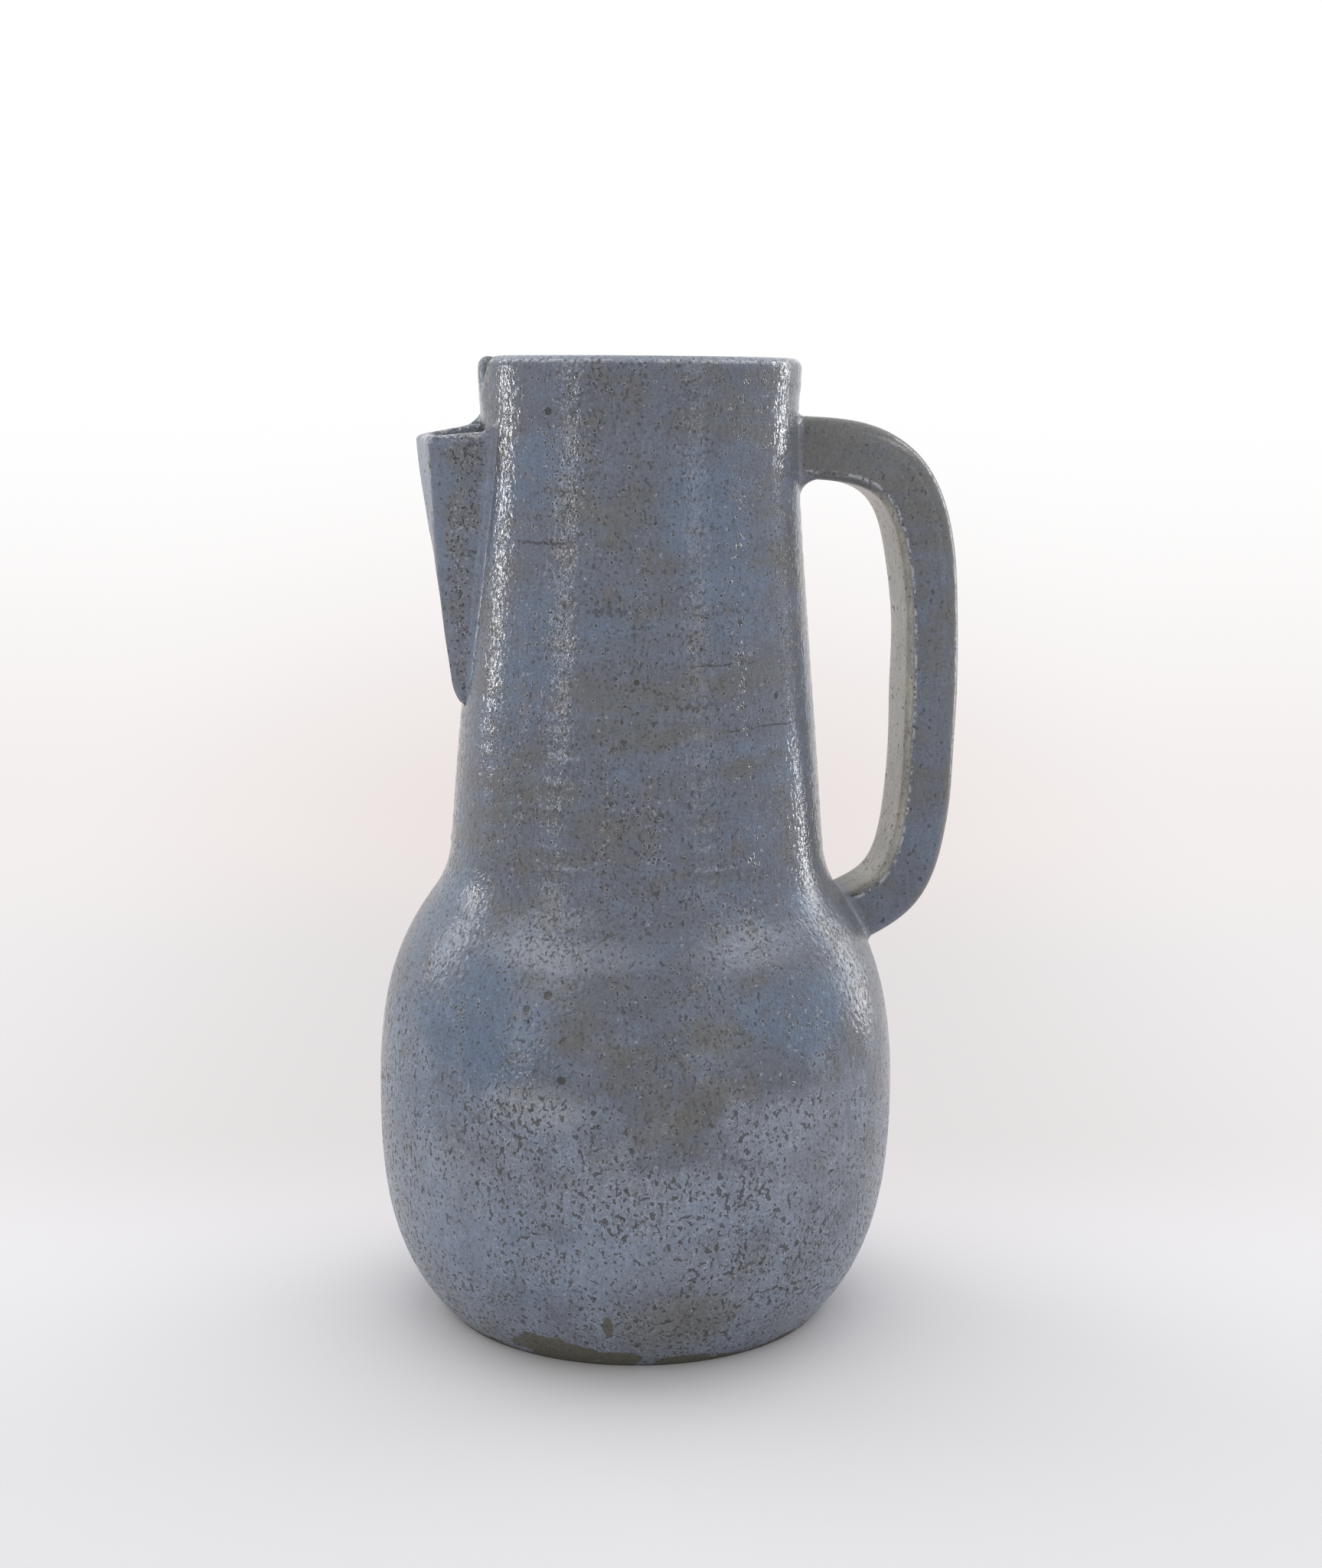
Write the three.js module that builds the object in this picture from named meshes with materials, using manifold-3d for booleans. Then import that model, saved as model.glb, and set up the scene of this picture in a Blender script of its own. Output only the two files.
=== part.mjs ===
// Stoneware pitcher, put together the way a potter does it: a thrown belly, a thrown neck luted on top,
// a folded slab spout, a strap handle, and the clay coils smoothed into the corners of their joints.
// Millimetres, +Z up, the centre of the flat foot at the origin.
// The spout points along -X, and the handle along +X, turned a little off that line.

import * as THREE from 'three';
import { mergeVertices } from 'three/addons/utils/BufferGeometryUtils.js';
import Module from 'manifold-3d';

// Walls of the thrown body: radii, heights above the floor, and the waist's distance below the rim
const RIM_HEIGHT = 290;
const RIM_RADIUS = 47.8;
const WAIST_RADIUS = 47.1;
const WAIST_DROP = 20;
const SEAM_RADIUS = 56.6;
const SEAM_HEIGHT = 146;
const SHOULDER_RADIUS = 62.5;
const SHOULDER_HEIGHT = 129;
const BELLY_RADIUS = 79;
const BELLY_HEIGHT = 69;
const FOOT_RADIUS = 58.8;
const WALL = 6;
const FLOOR = 9;
const SEAM_BEVEL = 3;

// Directions of the wall, in degrees from level, where its curves meet
const FOOT_ANGLE = 46;
const SHOULDER_ANGLE = 126;
const SEAM_ANGLE = 94;
const WAIST_ANGLE = 92;
const UPRIGHT = 90;

// Dip in the rim over the spout, and where its sides bend, as shares of its half width
const NOTCH_WIDTH = 17;
const NOTCH_DEPTH = 4.6;
const NOTCH_BROW = 0.5;
const NOTCH_ROOT = 0.33;

// Spout: the drop from the rim to its lip, its length, and how far its nose stands out from the neck
const LIP_DROP = 24;
const LIP_RISE = 4.5;
const LIP_OUT = 18.4;
const SPOUT_LENGTH = 78;
const TOE_OUT = 3;
const NOSE_BULGE = 0.6;
const SPOUT_WIDTH = 20;
const TOE_WIDTH = 6;
const SLAB = 4;
const SLAB_EDGE = 1;
const CHANNEL_END_WIDTH = 3;
const POUR_DROP = 1;

// Handle: a strap whose middle line leaves the neck level, drops along the grip and meets the shoulder.
// Drops are taken from the rim to its root, from there to the grip, and from the shoulder to its foot.
const HANDLE_DROP = 26;
const GRIP_DROP = 67;
const LANDING_DROP = 8.5;
const FINGER_GAP = 30;
const HANDLE_WIDTH = 22.5;
const ROOT_THICK = 18.5;
const HANDLE_THICK = 16.8;
const HANDLE_EDGE = 3.5;
const FOOT_SLOPE = 24;
const HANDLE_SWING = 6;

// How far the handle's curves keep the direction of their ends, as shares of the way across or down
const ARM_FULLNESS = 0.757;
const RISE_FULLNESS = 0.87;
const FALL_FULLNESS = 0.784;
const FOOT_FULLNESS = 0.91;

// Luting coils and the clearance that joined pieces keep
const COIL_LEG = 5;
const TOE_COIL_LEG = 2;
const COIL_EDGE = 0.6;
const JOINT_GAP = 0.3;

// Fineness of the facets
const LATHE_STEPS = 60;
const CURVE_STEPS = 7;
const LIP_STEPS = 5;
const SPOUT_STEPS = 14;
const HANDLE_STEPS = 18;
const CORNER_STEPS = 3;
const COIL_STEPS = 4;

// How far a curve keeps the direction of its ends, as a share of the distance between them
const FULLNESS = 0.37;

// Allowance by which a cutting tool runs past what it cuts
const OVERCUT = 10;

// Distance within which corners are one, and the halvings of the search for a point on the wall
const MERGE = 1e-4;
const HALVINGS = 40;

// Heights above the floor that follow from these
const WAIST_HEIGHT = RIM_HEIGHT - WAIST_DROP;
const LIP_HEIGHT = RIM_HEIGHT - LIP_DROP;
const TOE_HEIGHT = LIP_HEIGHT - SPOUT_LENGTH;
const POUR_TOP = LIP_HEIGHT - POUR_DROP;
const HANDLE_TOP = RIM_HEIGHT - HANDLE_DROP;
const GRIP_HEIGHT = HANDLE_TOP - GRIP_DROP;
const HANDLE_FOOT = SHOULDER_HEIGHT - LANDING_DROP;

const wasm = await Module();
wasm.setup();

// General shapes

function radians(degrees) {
  return THREE.MathUtils.degToRad(degrees);
}

// Curve between two points of the wall, leaving and arriving at the given angles
function wallCurve(from, fromAngle, to, toAngle) {
  const pull = FULLNESS * from.distanceTo(to);
  const leaving = new THREE.Vector2(Math.cos(radians(fromAngle)), Math.sin(radians(fromAngle)));
  const arriving = new THREE.Vector2(Math.cos(radians(toAngle)), Math.sin(radians(toAngle)));
  const first = from.clone().addScaledVector(leaving, pull);
  const second = to.clone().addScaledVector(arriving, -pull);
  return new THREE.CubicBezierCurve(from, first, second, to).getPoints(CURVE_STEPS);
}

// Outline moved sideways, to the right of its direction where the distance is positive
function offsetOutline(points, distance) {
  return points.map((point, i) => {
    const before = points[Math.max(i - 1, 0)];
    const after = points[Math.min(i + 1, points.length - 1)];
    const along = after.clone().sub(before).normalize();
    return new THREE.Vector2(point.x + along.y * distance, point.y - along.x * distance);
  });
}

// Radius of an outline at a height, carried straight on past its ends
function radiusAt(outline, height) {
  let i = 1;
  while (i < outline.length - 1 && outline[i].y < height) i += 1;
  const low = outline[i - 1];
  const high = outline[i];
  return THREE.MathUtils.lerp(low.x, high.x, (height - low.y) / (high.y - low.y));
}

// Stretch of an outline between two heights, with a point at each of them
function stretch(outline, low, high) {
  const inside = outline.filter((point) => point.y > low && point.y < high);
  const first = new THREE.Vector2(radiusAt(outline, low), low);
  const last = new THREE.Vector2(radiusAt(outline, high), high);
  return [first, ...inside, last];
}

// Closed geometry with its faces pointing out
function facingOut(geometry) {
  geometry.deleteAttribute('normal');
  geometry.deleteAttribute('uv');
  const merged = mergeVertices(geometry, MERGE);
  const position = merged.attributes.position;
  const corners = merged.index.array;
  const triangles = [];
  let volume = 0;
  for (let i = 0; i < corners.length; i += 3) {
    const [a, b, c] = [corners[i], corners[i + 1], corners[i + 2]];
    if (a === b || b === c || c === a) continue;
    triangles.push([a, b, c]);
    const p = new THREE.Vector3().fromBufferAttribute(position, a);
    const q = new THREE.Vector3().fromBufferAttribute(position, b);
    const r = new THREE.Vector3().fromBufferAttribute(position, c);
    volume += p.dot(q.cross(r));
  }
  if (volume < 0) triangles.forEach((triangle) => triangle.reverse());
  merged.setIndex(triangles.flat());
  return merged;
}

// Solid of revolution about +Z from a closed outline of radius and height
function turned(outline) {
  const closed = [...outline, outline[0]];
  return facingOut(new THREE.LatheGeometry(closed, LATHE_STEPS).rotateX(Math.PI / 2));
}

// Solid through a row of like rings, closed by a fan at each end or, as a loop, back on itself
function lofted(rings, isLoop = false) {
  const count = rings[0].length;
  const spans = isLoop ? rings.length : rings.length - 1;
  const index = [];
  for (let i = 0; i < spans; i += 1) {
    const here = i * count;
    const there = ((i + 1) % rings.length) * count;
    for (let j = 0; j < count; j += 1) {
      const next = (j + 1) % count;
      index.push(here + j, there + j, there + next, here + j, there + next, here + next);
    }
  }
  if (!isLoop) {
    const last = (rings.length - 1) * count;
    for (let j = 1; j < count - 1; j += 1) {
      index.push(0, j, j + 1, last, last + j + 1, last + j);
    }
  }
  const geometry = new THREE.BufferGeometry().setFromPoints(rings.flat());
  geometry.setIndex(index);
  return facingOut(geometry);
}

function toSolid(geometry) {
  return new wasm.Manifold(new wasm.Mesh({
    numProp: 3,
    vertProperties: new Float32Array(geometry.attributes.position.array),
    triVerts: new Uint32Array(geometry.index.array),
  }));
}

function cut(geometry, ...tools) {
  const result = tools.reduce((left, tool) => left.subtract(toSolid(tool)), toSolid(geometry)).getMesh();
  const trimmed = new THREE.BufferGeometry();
  trimmed.setAttribute('position', new THREE.BufferAttribute(new Float32Array(result.vertProperties), 3));
  trimmed.setIndex(new THREE.BufferAttribute(new Uint32Array(result.triVerts), 1));
  return trimmed;
}

// Rounded oblong outline, counter-clockwise, with its half width and half depth
function oblong(halfWidth, halfDepth, edge) {
  const corners = [[1, 1, 0], [-1, 1, 1], [-1, -1, 2], [1, -1, 3]];
  const points = [];
  for (const [sideX, sideY, quarter] of corners) {
    for (let i = 0; i <= CORNER_STEPS; i += 1) {
      const angle = (quarter + i / CORNER_STEPS) * Math.PI / 2;
      const outward = new THREE.Vector2(Math.cos(angle), Math.sin(angle));
      const middle = new THREE.Vector2(sideX * (halfWidth - edge), sideY * (halfDepth - edge));
      points.push({ point: middle.addScaledVector(outward, edge), outward });
    }
  }
  return points;
}

// The body's outline

const foot = new THREE.Vector2(FOOT_RADIUS, 0);
const widest = new THREE.Vector2(BELLY_RADIUS, BELLY_HEIGHT);
const shoulder = new THREE.Vector2(SHOULDER_RADIUS, SHOULDER_HEIGHT);
const seam = new THREE.Vector2(SEAM_RADIUS, SEAM_HEIGHT);
const waist = new THREE.Vector2(WAIST_RADIUS, WAIST_HEIGHT);
const lipMiddle = RIM_HEIGHT - WALL / 2;

const outside = [
  ...wallCurve(foot, FOOT_ANGLE, widest, UPRIGHT),
  ...wallCurve(widest, UPRIGHT, shoulder, SHOULDER_ANGLE).slice(1),
  ...wallCurve(shoulder, SHOULDER_ANGLE, seam, SEAM_ANGLE).slice(1),
  ...wallCurve(seam, SEAM_ANGLE, waist, WAIST_ANGLE).slice(1),
  new THREE.Vector2(RIM_RADIUS, lipMiddle),
];
const inside = offsetOutline(outside, -WALL);
const clearOfWall = offsetOutline(outside, JOINT_GAP);

function wallRadius(height) {
  return radiusAt(outside, height);
}

// Solid that fills the body to the joint clearance outside its wall, for fitting pieces to it
function bodyEnvelope() {
  const last = clearOfWall[clearOfWall.length - 1];
  return turned([
    new THREE.Vector2(0, clearOfWall[0].y),
    ...clearOfWall,
    new THREE.Vector2(0, last.y),
  ]);
}

// Point where a line meets the surface that keeps the joint clearance from the wall, going inwards
function meetWall(start, outward) {
  let near = -OVERCUT;
  let far = FINGER_GAP;
  for (let i = 0; i < HALVINGS; i += 1) {
    const middle = (near + far) / 2;
    const probe = start.clone().addScaledVector(outward, middle);
    const isOutside = Math.hypot(probe.x, probe.y) > radiusAt(clearOfWall, probe.z);
    if (isOutside) far = middle;
    else near = middle;
  }
  return start.clone().addScaledVector(outward, far);
}

// Belly: floor, lower wall and the bevelled edge that carries the neck

function bellyGeometry() {
  const top = SEAM_HEIGHT - JOINT_GAP / 2;
  return turned([
    new THREE.Vector2(0, 0),
    ...stretch(outside, 0, top),
    ...stretch(inside, FLOOR, top + SEAM_BEVEL).reverse(),
    new THREE.Vector2(0, FLOOR),
  ]);
}

// Neck: upper wall with a rounded rim, the dip in it and the pouring hole behind the spout

function rimPoints() {
  const points = [];
  const middle = RIM_RADIUS - WALL / 2;
  for (let i = 1; i < LIP_STEPS; i += 1) {
    const angle = i / LIP_STEPS * Math.PI;
    const out = Math.cos(angle) * WALL / 2;
    const up = Math.sin(angle) * WALL / 2;
    points.push(new THREE.Vector2(middle + out, lipMiddle + up));
  }
  return points;
}

// Wedge with soft sides that cuts the dip, along +X
function notchTool() {
  const half = NOTCH_WIDTH / 2;
  const bottom = RIM_HEIGHT - NOTCH_DEPTH;
  const over = RIM_HEIGHT + OVERCUT;
  const shape = new THREE.Shape();
  shape.moveTo(-half, over);
  shape.lineTo(-half, RIM_HEIGHT);
  const brow = half * NOTCH_BROW;
  const root = half * NOTCH_ROOT;
  shape.bezierCurveTo(-brow, RIM_HEIGHT, -root, bottom, 0, bottom);
  shape.bezierCurveTo(root, bottom, brow, RIM_HEIGHT, half, RIM_HEIGHT);
  shape.lineTo(half, over);
  const options = { depth: RIM_RADIUS + OVERCUT, bevelEnabled: false, curveSegments: CURVE_STEPS };
  const across = new THREE.Vector3(0, 1, 0);
  const upward = new THREE.Vector3(0, 0, 1);
  const along = new THREE.Vector3(1, 0, 0);
  const turn = new THREE.Matrix4().makeBasis(across, upward, along);
  return facingOut(new THREE.ExtrudeGeometry(shape, options).applyMatrix4(turn));
}

function neckGeometry() {
  const bottom = SEAM_HEIGHT + JOINT_GAP / 2;
  const blank = turned([
    ...stretch(outside, bottom, lipMiddle),
    ...rimPoints(),
    ...stretch(inside, bottom + SEAM_BEVEL, lipMiddle).reverse(),
  ]);
  const toSpout = new THREE.Matrix4().makeRotationZ(Math.PI);
  const notch = notchTool().applyMatrix4(toSpout);
  const pour = lofted(channelRings(POUR_TOP, wallRadius(POUR_TOP) - WALL - OVERCUT, OVERCUT));
  return cut(blank, notch, pour.applyMatrix4(toSpout));
}

// Spout: a beak along +X whose nose and cheeks taper from the lip to the toe

const lipReach = wallRadius(LIP_HEIGHT) + LIP_OUT;
const toeReach = wallRadius(TOE_HEIGHT) + TOE_OUT;

function spoutShare(height) {
  return (height - TOE_HEIGHT) / (LIP_HEIGHT - TOE_HEIGHT);
}

// Distance of the nose from the pot's axis: between toe and lip it stands out past a straight line,
// by the bulge half-way up
function noseReach(height) {
  const share = spoutShare(height);
  const bulge = NOSE_BULGE * 4 * share * (1 - share);
  return THREE.MathUtils.lerp(toeReach, lipReach, share) + bulge;
}

function spoutHalfWidth(height) {
  return THREE.MathUtils.lerp(TOE_WIDTH, SPOUT_WIDTH, spoutShare(height)) / 2;
}

// Height of the lip, which rises from the nose to the neck
function lipHeight(reach) {
  const share = (lipReach - reach) / (lipReach - wallRadius(LIP_HEIGHT));
  return LIP_HEIGHT + LIP_RISE * share;
}

// Level ring between two distances from the axis, with rounded corners
function spoutRing(from, to, halfWidth, edge, height) {
  const middle = (from + to) / 2;
  const halfDepth = (to - from) / 2;
  return oblong(halfDepth, halfWidth, edge).map(({ point }) => {
    return new THREE.Vector3(middle + point.x, point.y, height);
  });
}

// Height at which the channel between the cheeks ends in a narrow slot
function channelEnd() {
  const rate = (SPOUT_WIDTH - TOE_WIDTH) / (LIP_HEIGHT - TOE_HEIGHT);
  return TOE_HEIGHT + (CHANNEL_END_WIDTH + 2 * SLAB - TOE_WIDTH) / rate;
}

// Rings of the channel from its end up to a height, run past the nose by the given amount
function channelRings(top, from, past) {
  const rings = [];
  for (let i = 0; i <= SPOUT_STEPS; i += 1) {
    const height = THREE.MathUtils.lerp(channelEnd(), top, i / SPOUT_STEPS);
    const to = past > 0 ? wallRadius(height) + past : noseReach(height) - SLAB;
    rings.push(spoutRing(from, to, spoutHalfWidth(height) - SLAB, SLAB_EDGE, height));
  }
  return rings;
}

function spoutGeometry() {
  const buried = wallRadius(LIP_HEIGHT) - WALL;
  const rings = [];
  for (let i = 0; i < SPOUT_STEPS; i += 1) {
    const height = THREE.MathUtils.lerp(TOE_HEIGHT, LIP_HEIGHT, i / SPOUT_STEPS);
    rings.push(spoutRing(buried, noseReach(height), spoutHalfWidth(height), SLAB_EDGE, height));
  }
  const lip = spoutRing(buried, lipReach, SPOUT_WIDTH / 2, SLAB_EDGE, 0);
  lip.forEach((point) => point.setZ(lipHeight(point.x)));
  rings.push(lip);
  const channelTop = LIP_HEIGHT + LIP_RISE + OVERCUT;
  return cut(lofted(rings), bodyEnvelope(), lofted(channelRings(channelTop, buried, 0)));
}

// Spout coil: a hollow fillet down the corner between a cheek and the neck, on the given side of +X

function spoutCoilGeometry(side) {
  const rings = [];
  for (let i = 0; i <= SPOUT_STEPS; i += 1) {
    const height = THREE.MathUtils.lerp(TOE_HEIGHT, LIP_HEIGHT, i / SPOUT_STEPS);
    const radius = radiusAt(clearOfWall, height);
    const across = spoutHalfWidth(height) + JOINT_GAP;
    const start = Math.asin(across / radius);
    const leg = THREE.MathUtils.lerp(TOE_COIL_LEG, COIL_LEG, spoutShare(height));
    const place = (distance, angle) => {
      const y = distance * Math.sin(angle) * side;
      return new THREE.Vector3(distance * Math.cos(angle), y, height);
    };
    const corner = place(radius, start);
    const cheekEnd = corner.clone().add(new THREE.Vector3(leg, 0, 0));
    const cheekTop = cheekEnd.clone().add(new THREE.Vector3(0, COIL_EDGE * side, 0));
    const wallEnd = place(radius, start + leg / radius);
    const wallTop = place(radius + COIL_EDGE, start + leg / radius);
    const hollow = corner.clone().add(new THREE.Vector3(COIL_EDGE, COIL_EDGE * side, 0));
    const fillet = new THREE.QuadraticBezierCurve3(cheekTop, hollow, wallTop).getPoints(COIL_STEPS);
    rings.push([corner, cheekEnd, ...fillet, wallEnd]);
  }
  return lofted(rings);
}

// Handle: the middle line of the strap lies in the XZ plane

const topRoot = new THREE.Vector3(wallRadius(HANDLE_TOP), 0, HANDLE_TOP);
const footRoot = new THREE.Vector3(wallRadius(HANDLE_FOOT), 0, HANDLE_FOOT);
const armDirection = new THREE.Vector3(1, 0, 0);
const footDirection = new THREE.Vector3(Math.cos(radians(FOOT_SLOPE)), 0, Math.sin(radians(FOOT_SLOPE)));
const crosswise = new THREE.Vector3(0, 1, 0);

function handlePath() {
  const reach = wallRadius(GRIP_HEIGHT) + FINGER_GAP + HANDLE_THICK / 2;
  const grip = new THREE.Vector3(reach, 0, GRIP_HEIGHT);
  const armPull = ARM_FULLNESS * (reach - topRoot.x);
  const footPull = FOOT_FULLNESS * (reach - footRoot.x);
  const arm = topRoot.clone().addScaledVector(armDirection, armPull);
  const above = grip.clone().lerp(grip.clone().setZ(HANDLE_TOP), RISE_FULLNESS);
  const below = grip.clone().lerp(grip.clone().setZ(HANDLE_FOOT), FALL_FULLNESS);
  const landing = footRoot.clone().addScaledVector(footDirection, footPull);
  const path = new THREE.CurvePath();
  path.add(new THREE.LineCurve3(topRoot.clone().addScaledVector(armDirection, -WALL), topRoot));
  path.add(new THREE.CubicBezierCurve3(topRoot, arm, above, grip));
  path.add(new THREE.CubicBezierCurve3(grip, below, landing, footRoot));
  path.add(new THREE.LineCurve3(footRoot, footRoot.clone().addScaledVector(footDirection, -WALL)));
  return path;
}

// Thickness of the strap at a point of its middle line: it grows from the grip up to the root on the neck
function strapThickness(middle) {
  const share = THREE.MathUtils.smoothstep(middle.z, GRIP_HEIGHT, HANDLE_TOP);
  return THREE.MathUtils.lerp(HANDLE_THICK, ROOT_THICK, share);
}

function handleGeometry() {
  const path = handlePath();
  const rings = [];
  for (const curve of path.curves) {
    const isRoot = curve instanceof THREE.LineCurve3;
    const steps = isRoot ? 1 : HANDLE_STEPS;
    for (let i = rings.length ? 1 : 0; i <= steps; i += 1) {
      const middle = curve.getPoint(i / steps);
      const through = crosswise.clone().cross(curve.getTangent(i / steps));
      const section = oblong(HANDLE_WIDTH / 2, strapThickness(middle) / 2, HANDLE_EDGE);
      rings.push(section.map(({ point }) => {
        return middle.clone().addScaledVector(crosswise, point.x).addScaledVector(through, point.y);
      }));
    }
  }
  return cut(lofted(rings), bodyEnvelope());
}

// Handle coil: a hollow fillet all round the strap where it meets the wall

function handleCoilGeometry(root, outward) {
  const halfWidth = HANDLE_WIDTH / 2 + JOINT_GAP;
  const halfThick = strapThickness(root) / 2 + JOINT_GAP;
  const through = crosswise.clone().cross(outward);
  const rings = oblong(halfWidth, halfThick, HANDLE_EDGE + JOINT_GAP).map(({ point, outward: side }) => {
    const sideways = crosswise.clone().multiplyScalar(side.x).addScaledVector(through, side.y);
    const start = root.clone().addScaledVector(crosswise, point.x).addScaledVector(through, point.y);
    const corner = meetWall(start, outward);
    const strapEnd = corner.clone().addScaledVector(outward, COIL_LEG);
    const strapTop = strapEnd.clone().addScaledVector(sideways, COIL_EDGE);
    const wallEnd = meetWall(start.clone().addScaledVector(sideways, COIL_LEG), outward);
    const wallTop = wallEnd.clone().addScaledVector(outward, COIL_EDGE);
    const hollow = corner.clone().addScaledVector(sideways, COIL_EDGE).addScaledVector(outward, COIL_EDGE);
    const fillet = new THREE.QuadraticBezierCurve3(strapTop, hollow, wallTop).getPoints(COIL_STEPS);
    const buried = [corner, wallEnd].map((point) => point.clone().addScaledVector(outward, -WALL / 2));
    return [buried[0], strapEnd, ...fillet, buried[1]];
  });
  return cut(lofted(rings, true), bodyEnvelope());
}

// Glazes: slate blue over the body, browner where it broke on the applied pieces

const glaze = { metalness: 0, roughness: 0.38 };
const slateGlaze = new THREE.MeshStandardMaterial({ color: 0x66707a, ...glaze });
const oliveGlaze = new THREE.MeshStandardMaterial({ color: 0x6c6a5e, ...glaze });

function piece(name, geometry, material) {
  geometry.computeVertexNormals();
  const mesh = new THREE.Mesh(geometry, material);
  mesh.name = name;
  return mesh;
}

const pitcher = new THREE.Group();
pitcher.add(piece('belly', bellyGeometry(), slateGlaze));
pitcher.add(piece('neck', neckGeometry(), slateGlaze));

const spoutGroup = new THREE.Group();
spoutGroup.rotation.z = Math.PI;
spoutGroup.add(piece('spout', spoutGeometry(), oliveGlaze));
spoutGroup.add(piece('spout_coil_near', spoutCoilGeometry(1), slateGlaze));
spoutGroup.add(piece('spout_coil_far', spoutCoilGeometry(-1), slateGlaze));
pitcher.add(spoutGroup);

const handleGroup = new THREE.Group();
handleGroup.rotation.z = -radians(HANDLE_SWING);
handleGroup.add(piece('handle', handleGeometry(), oliveGlaze));
handleGroup.add(piece('handle_top_coil', handleCoilGeometry(topRoot, armDirection), slateGlaze));
handleGroup.add(piece('handle_foot_coil', handleCoilGeometry(footRoot, footDirection), slateGlaze));
pitcher.add(handleGroup);

export default pitcher;
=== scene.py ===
"""Stoneware pitcher: a thrown belly and neck, a folded beak spout and a strap handle under a slate glaze."""

import math
from bisect import bisect_left
from functools import reduce

import bmesh
import bpy
from bpy.props import FloatProperty, FloatVectorProperty, PointerProperty
from mathutils import Matrix, Vector, noise
from mathutils.geometry import interpolate_bezier


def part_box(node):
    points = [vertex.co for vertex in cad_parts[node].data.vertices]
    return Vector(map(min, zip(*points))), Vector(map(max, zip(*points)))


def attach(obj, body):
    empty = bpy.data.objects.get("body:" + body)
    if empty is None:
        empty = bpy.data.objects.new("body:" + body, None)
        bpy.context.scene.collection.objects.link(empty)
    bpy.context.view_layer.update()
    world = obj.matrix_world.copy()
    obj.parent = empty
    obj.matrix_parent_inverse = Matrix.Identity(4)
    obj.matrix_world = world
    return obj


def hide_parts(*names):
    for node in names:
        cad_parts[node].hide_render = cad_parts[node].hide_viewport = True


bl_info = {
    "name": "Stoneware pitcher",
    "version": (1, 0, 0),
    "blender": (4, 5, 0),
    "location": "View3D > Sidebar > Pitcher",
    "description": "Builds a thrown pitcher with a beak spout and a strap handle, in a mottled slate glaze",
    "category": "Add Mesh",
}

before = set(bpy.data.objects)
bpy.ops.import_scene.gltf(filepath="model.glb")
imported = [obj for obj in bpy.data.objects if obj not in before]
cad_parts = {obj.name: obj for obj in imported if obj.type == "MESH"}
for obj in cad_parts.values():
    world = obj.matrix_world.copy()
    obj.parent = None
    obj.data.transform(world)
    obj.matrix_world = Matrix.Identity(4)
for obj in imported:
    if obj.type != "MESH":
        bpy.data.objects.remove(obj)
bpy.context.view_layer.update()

belly_low, belly_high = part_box("belly")
neck_low, neck_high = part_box("neck")
spout_low, spout_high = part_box("spout")

PHOTO_WIDTH = 1727
PHOTO_HEIGHT = 2048

UP = Vector((0.0, 0.0, 1.0))


# Sizes and colours that a user would change

def length(name, description, default):
    return FloatProperty(name=name, description=description, default=default, unit="LENGTH", precision=4)


def angle(name, description, degrees):
    return FloatProperty(name=name, description=description, default=math.radians(degrees), unit="ROTATION")


def share(name, description, default):
    return FloatProperty(name=name, description=description, default=default, subtype="FACTOR")


def colour(name, description, default):
    return FloatVectorProperty(name=name, description=description, default=default, subtype="COLOR",
                               min=0.0, max=1.0)


class PITCHER_PG_body(bpy.types.PropertyGroup):
    """Sizes of the thrown belly and neck"""
    rim_height: length("Rim height", "Height of the rim above the floor", neck_high.z)
    rim_radius: length("Rim radius", "Outer radius at the rim", 0.0478)
    waist_radius: length("Waist radius", "Outer radius where the neck is narrowest", 0.0471)
    waist_drop: length("Waist drop", "Distance of the narrowest place below the rim", 0.020)
    seam_radius: length("Seam radius", "Outer radius where neck and belly are joined", 0.0566)
    seam_height: length("Seam height", "Height of the joint of neck and belly", 0.146)
    shoulder_radius: length("Shoulder radius", "Outer radius in the middle of the shoulder", 0.0625)
    shoulder_height: length("Shoulder height", "Height of the middle of the shoulder", 0.129)
    belly_radius: length("Belly radius", "Outer radius where the belly is widest", belly_high.x)
    belly_height: length("Belly height", "Height at which the belly is widest", 0.069)
    foot_radius: length("Foot radius", "Radius of the flat foot", 0.0588)
    wall: length("Wall", "Thickness of the thrown wall", 0.006)
    floor: length("Floor", "Thickness of the floor", 0.009)
    fullness: share("Fullness", "How far the wall's curves keep the direction of their ends", 0.37)
    notch_width: length("Notch width", "Width of the dip in the rim over the spout", 0.0155)
    notch_depth: length("Notch depth", "Depth of the dip in the rim over the spout", 0.0072)
    ring_depth: length("Ring depth", "Height of the throwing rings on the neck", 0.00007)
    ring_pitch: length("Ring pitch", "Distance between throwing rings", 0.0062)


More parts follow.
